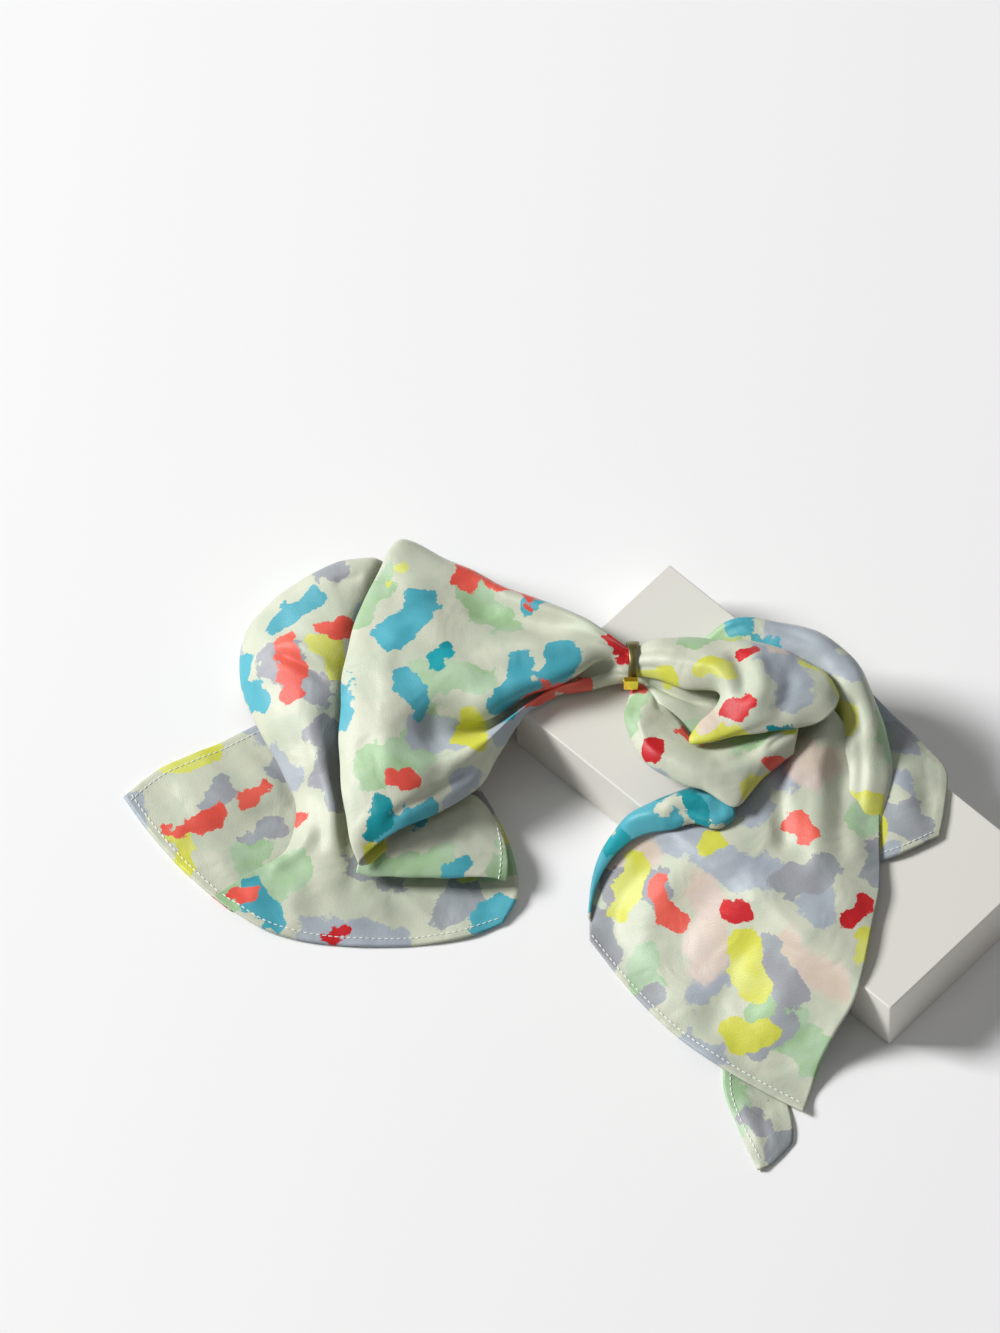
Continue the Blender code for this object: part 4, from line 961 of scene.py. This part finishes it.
# %% Two heaps of folded layers
HEAP_TURNS = 96
HEAP_LEVELS = 40
HEAP_FOLDS = 7            # layers that show at the edge
# centre x, centre y, half width x, half width y, turn in degrees, low z, high z
HEAPS = {
    "left_hidden_layers": (-92, 0, 17, 40, 8, 9, 43),
    "right_hidden_layers": (66, -14, 24, 13, -20, 38, 57),
}


def heap(name):
    """Radius = dome(level) * (1 - a little at each fold line), turned and stretched to an ellipse."""
    x, y, wide, deep, turn, low, high = HEAPS[name]
    level = np.linspace(0, 1, HEAP_LEVELS)[:, None]
    angle = np.linspace(0, 2 * math.pi, HEAP_TURNS, endpoint=False)[None, :]
    dome = np.interp(level, [0, 0.3, 0.6, 0.85, 0.96, 1.0], [0.86, 0.985, 0.93, 0.71, 0.41, 0.03])
    fold = 0.045 * (0.5 + 0.5 * np.cos(2 * math.pi * (HEAP_FOLDS * level + 0.35 * np.sin(2 * angle)))) ** 3
    out = dome * (1 - fold)
    px, py = wide * out * np.cos(angle), deep * out * np.sin(angle)
    spin = math.radians(turn)
    ring = np.stack([x + px * math.cos(spin) - py * math.sin(spin),
                     y + px * math.sin(spin) + py * math.cos(spin),
                     np.broadcast_to(low + (high - low) * level, px.shape)], -1)
    k = np.arange(HEAP_TURNS)
    quads = [np.stack([HEAP_TURNS * j + k, HEAP_TURNS * j + (k + 1) % HEAP_TURNS,
                       HEAP_TURNS * (j + 1) + (k + 1) % HEAP_TURNS,
                       HEAP_TURNS * (j + 1) + k], -1) for j in range(HEAP_LEVELS - 1)]
    last = HEAP_TURNS * (HEAP_LEVELS - 1)
    faces = np.concatenate(quads).tolist() + [k[::-1].tolist(), (last + k).tolist()]
    obj = make_mesh(name + "_folded", ring.reshape(-1, 3), faces)
    x, y, z = np.moveaxis(ring, -1, 0)
    waves = {ink: 6 * np.sin(0.13 * x + 1.7 * k) + 6 * np.cos(0.16 * y + 0.3 * z + k) - 6 for k,
             ink in enumerate(INKS)}
    dress(obj, waves, ring.reshape(-1, 3)[:, :2] * 0.001)
    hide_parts(name)
    return obj


for name in HEAPS:
    heap(name)

# %% [markdown]
# ## The metal ring
# The ring is a flat strip of aged metal bent round the neck of the scarf. It is waisted: narrow where
# it comes over the top of the front and wider both ways from there, and a small gold block closes it.
# It would be cast and polished. A rounded profile is carried round a circle, and its width follows
# the angle.

# %% Band and clasp
RING_RADIUS = 10.1
RING_THICK = 1.0
BAND_TURNS = 160
WAIST_AT = 1 / 3          # share of a turn from the back, over the top, to the waist
# share of a turn from the waist, and half width there, mm
BAND_WIDTHS = ((0, 1.7), (0.05, 1.75), (0.1, 2.2), (0.15, 2.7), (0.22, 3.3), (0.35, 3.3), (0.5, 2.6))
# the strip's own outline: share of the half width across, share of the thickness out
BAND_PROFILE = ((-1, 0.3), (-0.93, 0.86), (-0.8, 1), (0, 1.06), (0.8, 1), (0.93, 0.86), (1, 0.3),
                (0.93, 0.08), (0.8, 0), (0, 0), (-0.8, 0), (-0.93, 0.08))
CLASP_SIZE = (7.4, 2.6, 8.6)
CLASP_AT = (-1.0, -0.2, 2.2)      # its centre from the ring's centre: x, gap in front, z


def band():
    """Circle of radius r in the y-z plane; at each angle a rounded strip, 2 * half wide and 1 mm thick."""
    angle = np.linspace(0, 2 * math.pi, BAND_TURNS, endpoint=False)
    share = np.abs(angle / (2 * math.pi) - WAIST_AT)
    share = np.minimum(share, 1 - share)
    half = np.interp(share, *np.array(BAND_WIDTHS).T)
    half = (half + np.roll(half, 3) + np.roll(half, -3) + np.roll(half, 6) + np.roll(half, -6)) / 5
    across, out = np.array(BAND_PROFILE).T
    r = RING_RADIUS + out[None, :] * RING_THICK
    points = np.stack([RING_CENTRE[0] + half[:, None] * across, RING_CENTRE[1] + r * np.cos(angle)[:, None],
                       RING_CENTRE[2] + r * np.sin(angle)[:, None]], -1)
    m = len(BAND_PROFILE)
    i, j = np.meshgrid(np.arange(BAND_TURNS), np.arange(m), indexing="ij")
    a, b = (i + 1) % BAND_TURNS, (j + 1) % m
    faces = np.stack([i * m + j, a * m + j, a * m + b, i * m + b], -1).reshape(-1, 4)
    return points.reshape(-1, 3), faces.tolist()


def rounded(wide, tall, radius, per_corner=6):
    """Outline of a rectangle with quarter-circle corners, anticlockwise."""
    turn = np.linspace(0, math.pi / 2, per_corner)
    parts = []
    for k, (sx, sy) in enumerate(((1, 1), (-1, 1), (-1, -1), (1, -1))):
        a = turn + k * math.pi / 2
        parts.append(np.stack([sx * (wide / 2 - radius) + radius * np.cos(a),
                               sy * (tall / 2 - radius) + radius * np.sin(a)], -1))
    return np.concatenate(parts)


def stacked(outlines, heights):
    """Outlines at rising heights joined by quads, and closed by one face at each end."""
    points = np.concatenate([np.column_stack([o, np.full(len(o), h)]) for o, h in zip(outlines, heights)])
    m = len(outlines[0])
    k = np.arange(m)
    quads = [np.stack([m * j + k, m * j + (k + 1) % m, m * j + m + (k + 1) % m, m * j + m + k],
                      -1) for j in range(len(outlines) - 1)]
    return points, np.concatenate(quads).tolist() + [k[::-1].tolist(),
                                                     (m * (len(outlines) - 1) + k).tolist()]


def bevelled(wide, tall, deep, corner, bevel, steps=5):
    """A block whose outline shrinks by a quarter circle of the bevel at each end."""
    turn = np.linspace(0, math.pi / 2, steps)
    inset = np.concatenate([bevel * (1 - np.sin(turn)), bevel * (1 - np.cos(turn))])
    height = np.concatenate([bevel * (1 - np.cos(turn)), deep - bevel + bevel * np.sin(turn)])
    return [rounded(wide - 2 * i, tall - 2 * i, corner) for i in inset], height


def clasp():
    """The bevelled block, stood on its end in front of the band."""
    wide, deep, tall = CLASP_SIZE
    outlines, height = bevelled(wide, tall, deep, 0.5, 0.35)
    points, faces = stacked(outlines, height)
    x, y, z = CLASP_AT
    front = RING_CENTRE[1] - RING_RADIUS - RING_THICK + y
    placed = np.stack([RING_CENTRE[0] + x + points[:, 0], front - points[:, 2],
                       RING_CENTRE[2] + z + points[:, 1]], -1)
    return placed, faces


GOLD, gold_tree, gold_shader, _, brushed = two_toned(
    "gold_metal", 0.24, 900, 3.0, ((246, 196, 48), (255, 214, 84)), Metallic=1.0)
bumped(gold_tree, gold_shader, brushed, 0.05, 0.0002)
OLIVE = two_toned("aged_band", 0.38, 400, 4.0, ((132, 128, 82), (158, 150, 104)), Metallic=1.0)[0]
for name, (points, faces), metal in (("ring_band", band(), OLIVE), ("ring_clasp", clasp(), GOLD)):
    ring_piece = make_mesh(name + "_metal", points, faces, flat=metal is GOLD)
    ring_piece.data.materials.append(metal)
    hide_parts(name)
    print(name, len(points), "points")

# %% [markdown]
# ## The gift box
# The right half lies on a slim box of wrapped card. Card folded round a box leaves soft edges of
# about a millimetre that catch the light. A bevelled block worked out as stacked outlines gives them,
# and a paper grain keeps its large faces from looking like plastic.

# %% The box and its card
EDGE_ROUND = 0.9


def box_block():
    """Stacked outlines in the box's own directions, carried to its corner."""
    long, short, tall = BOX_SIZE
    outlines, heights = bevelled(long, short, tall, 1.0, EDGE_ROUND, 6)
    points, faces = stacked(outlines, heights)
    plan = (BOX_CORNER + np.outer(points[:, 0] + long / 2, LONG_WAY)
            + np.outer(points[:, 1] + short / 2, SHORT_WAY))
    return np.column_stack([plan, points[:, 2]]), faces


CARD, card_tree, card_shader, card_place, _ = two_toned(
    "wrapped_card", 0.5, 9, 2.0, ((222, 216, 208), (228, 228, 220)), Specular_IOR_Level=0.35)
bumped(card_tree, card_shader, noise(card_tree, card_place, 700, 5.0), 0.1, 0.0003)
card_box = make_mesh("display_box_card", *box_block(), flat=True)
card_box.data.materials.append(CARD)
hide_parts("display_box")
print("box faces:", len(card_box.data.polygons))

# %% [markdown]

# %% [markdown]
# ## Studio
# A wide pale floor, a large soft light from above and behind the left shoulder, a weaker one from the
# right and an even world keep the colours true and the shadows soft.

# %% Floor, lights and world
floor = bpy.data.objects.new("floor", bpy.data.meshes.new("floor"))
floor.data.from_pydata([(-4, -4, 0), (4, -4, 0), (4, 4, 0), (-4, 4, 0)], [], [(0, 1, 2, 3)])
bpy.context.scene.collection.objects.link(floor)
PALE, _, _ = new_material("pale_floor", 0.9, Specular_IOR_Level=0.1, Base_Color=srgb(245, 245, 245))
floor.data.materials.append(PALE)

# name: position, aim, size and power of each soft light
LIGHTS = {"key": ((-5.8, 1.1, 4.3), (0, 0, 0), 2.3, 680.0), "fill": ((2.4, 1.8, 3.2), (0, 0, 0), 3.0, 10.0)}
for name, (place, aim, side, power) in LIGHTS.items():
    light = bpy.data.lights.new(name, "AREA")
    light.size = side
    light.energy = power
    lamp = bpy.data.objects.new(name, light)
    lamp.location = place
    lamp.rotation_euler = (Vector(aim) - Vector(place)).to_track_quat("-Z", "Y").to_euler()
    bpy.context.scene.collection.objects.link(lamp)
world = bpy.data.worlds.new("studio")
world.use_nodes = True
world.node_tree.nodes["Background"].inputs[0].default_value = (1.0, 1.0, 1.0, 1.0)
world.node_tree.nodes["Background"].inputs[1].default_value = 0.19
bpy.context.scene.world = world
bpy.context.scene.view_settings.view_transform = "Standard"

# %% [markdown]
# ## Camera
# The view looks down at the spread scarf at sixty degrees with a long lens, so lines that are
# parallel stay almost parallel, and the object sits a little low and right in the frame.

# %% A long lens at the viewing angle
PITCH = math.radians(60)
LENS = 500.0
FRAME_TALL = 0.6665       # what the frame's long side spans at the aim, metres
AIM = metres((-65.0, 26.4, 0.0))
camera = bpy.data.objects.new("camera", bpy.data.cameras.new("camera"))
camera.data.lens = LENS
reach = FRAME_TALL * LENS / camera.data.sensor_width
away = np.array([0.0, -math.cos(PITCH), math.sin(PITCH)])
camera.location = AIM + away * reach
camera.rotation_euler = Vector(-away).to_track_quat("-Z", "Y").to_euler()
camera.data.clip_end = 50.0
bpy.context.scene.collection.objects.link(camera)
bpy.context.scene.camera = camera
print("camera is", round(float(reach), 2), "m away")
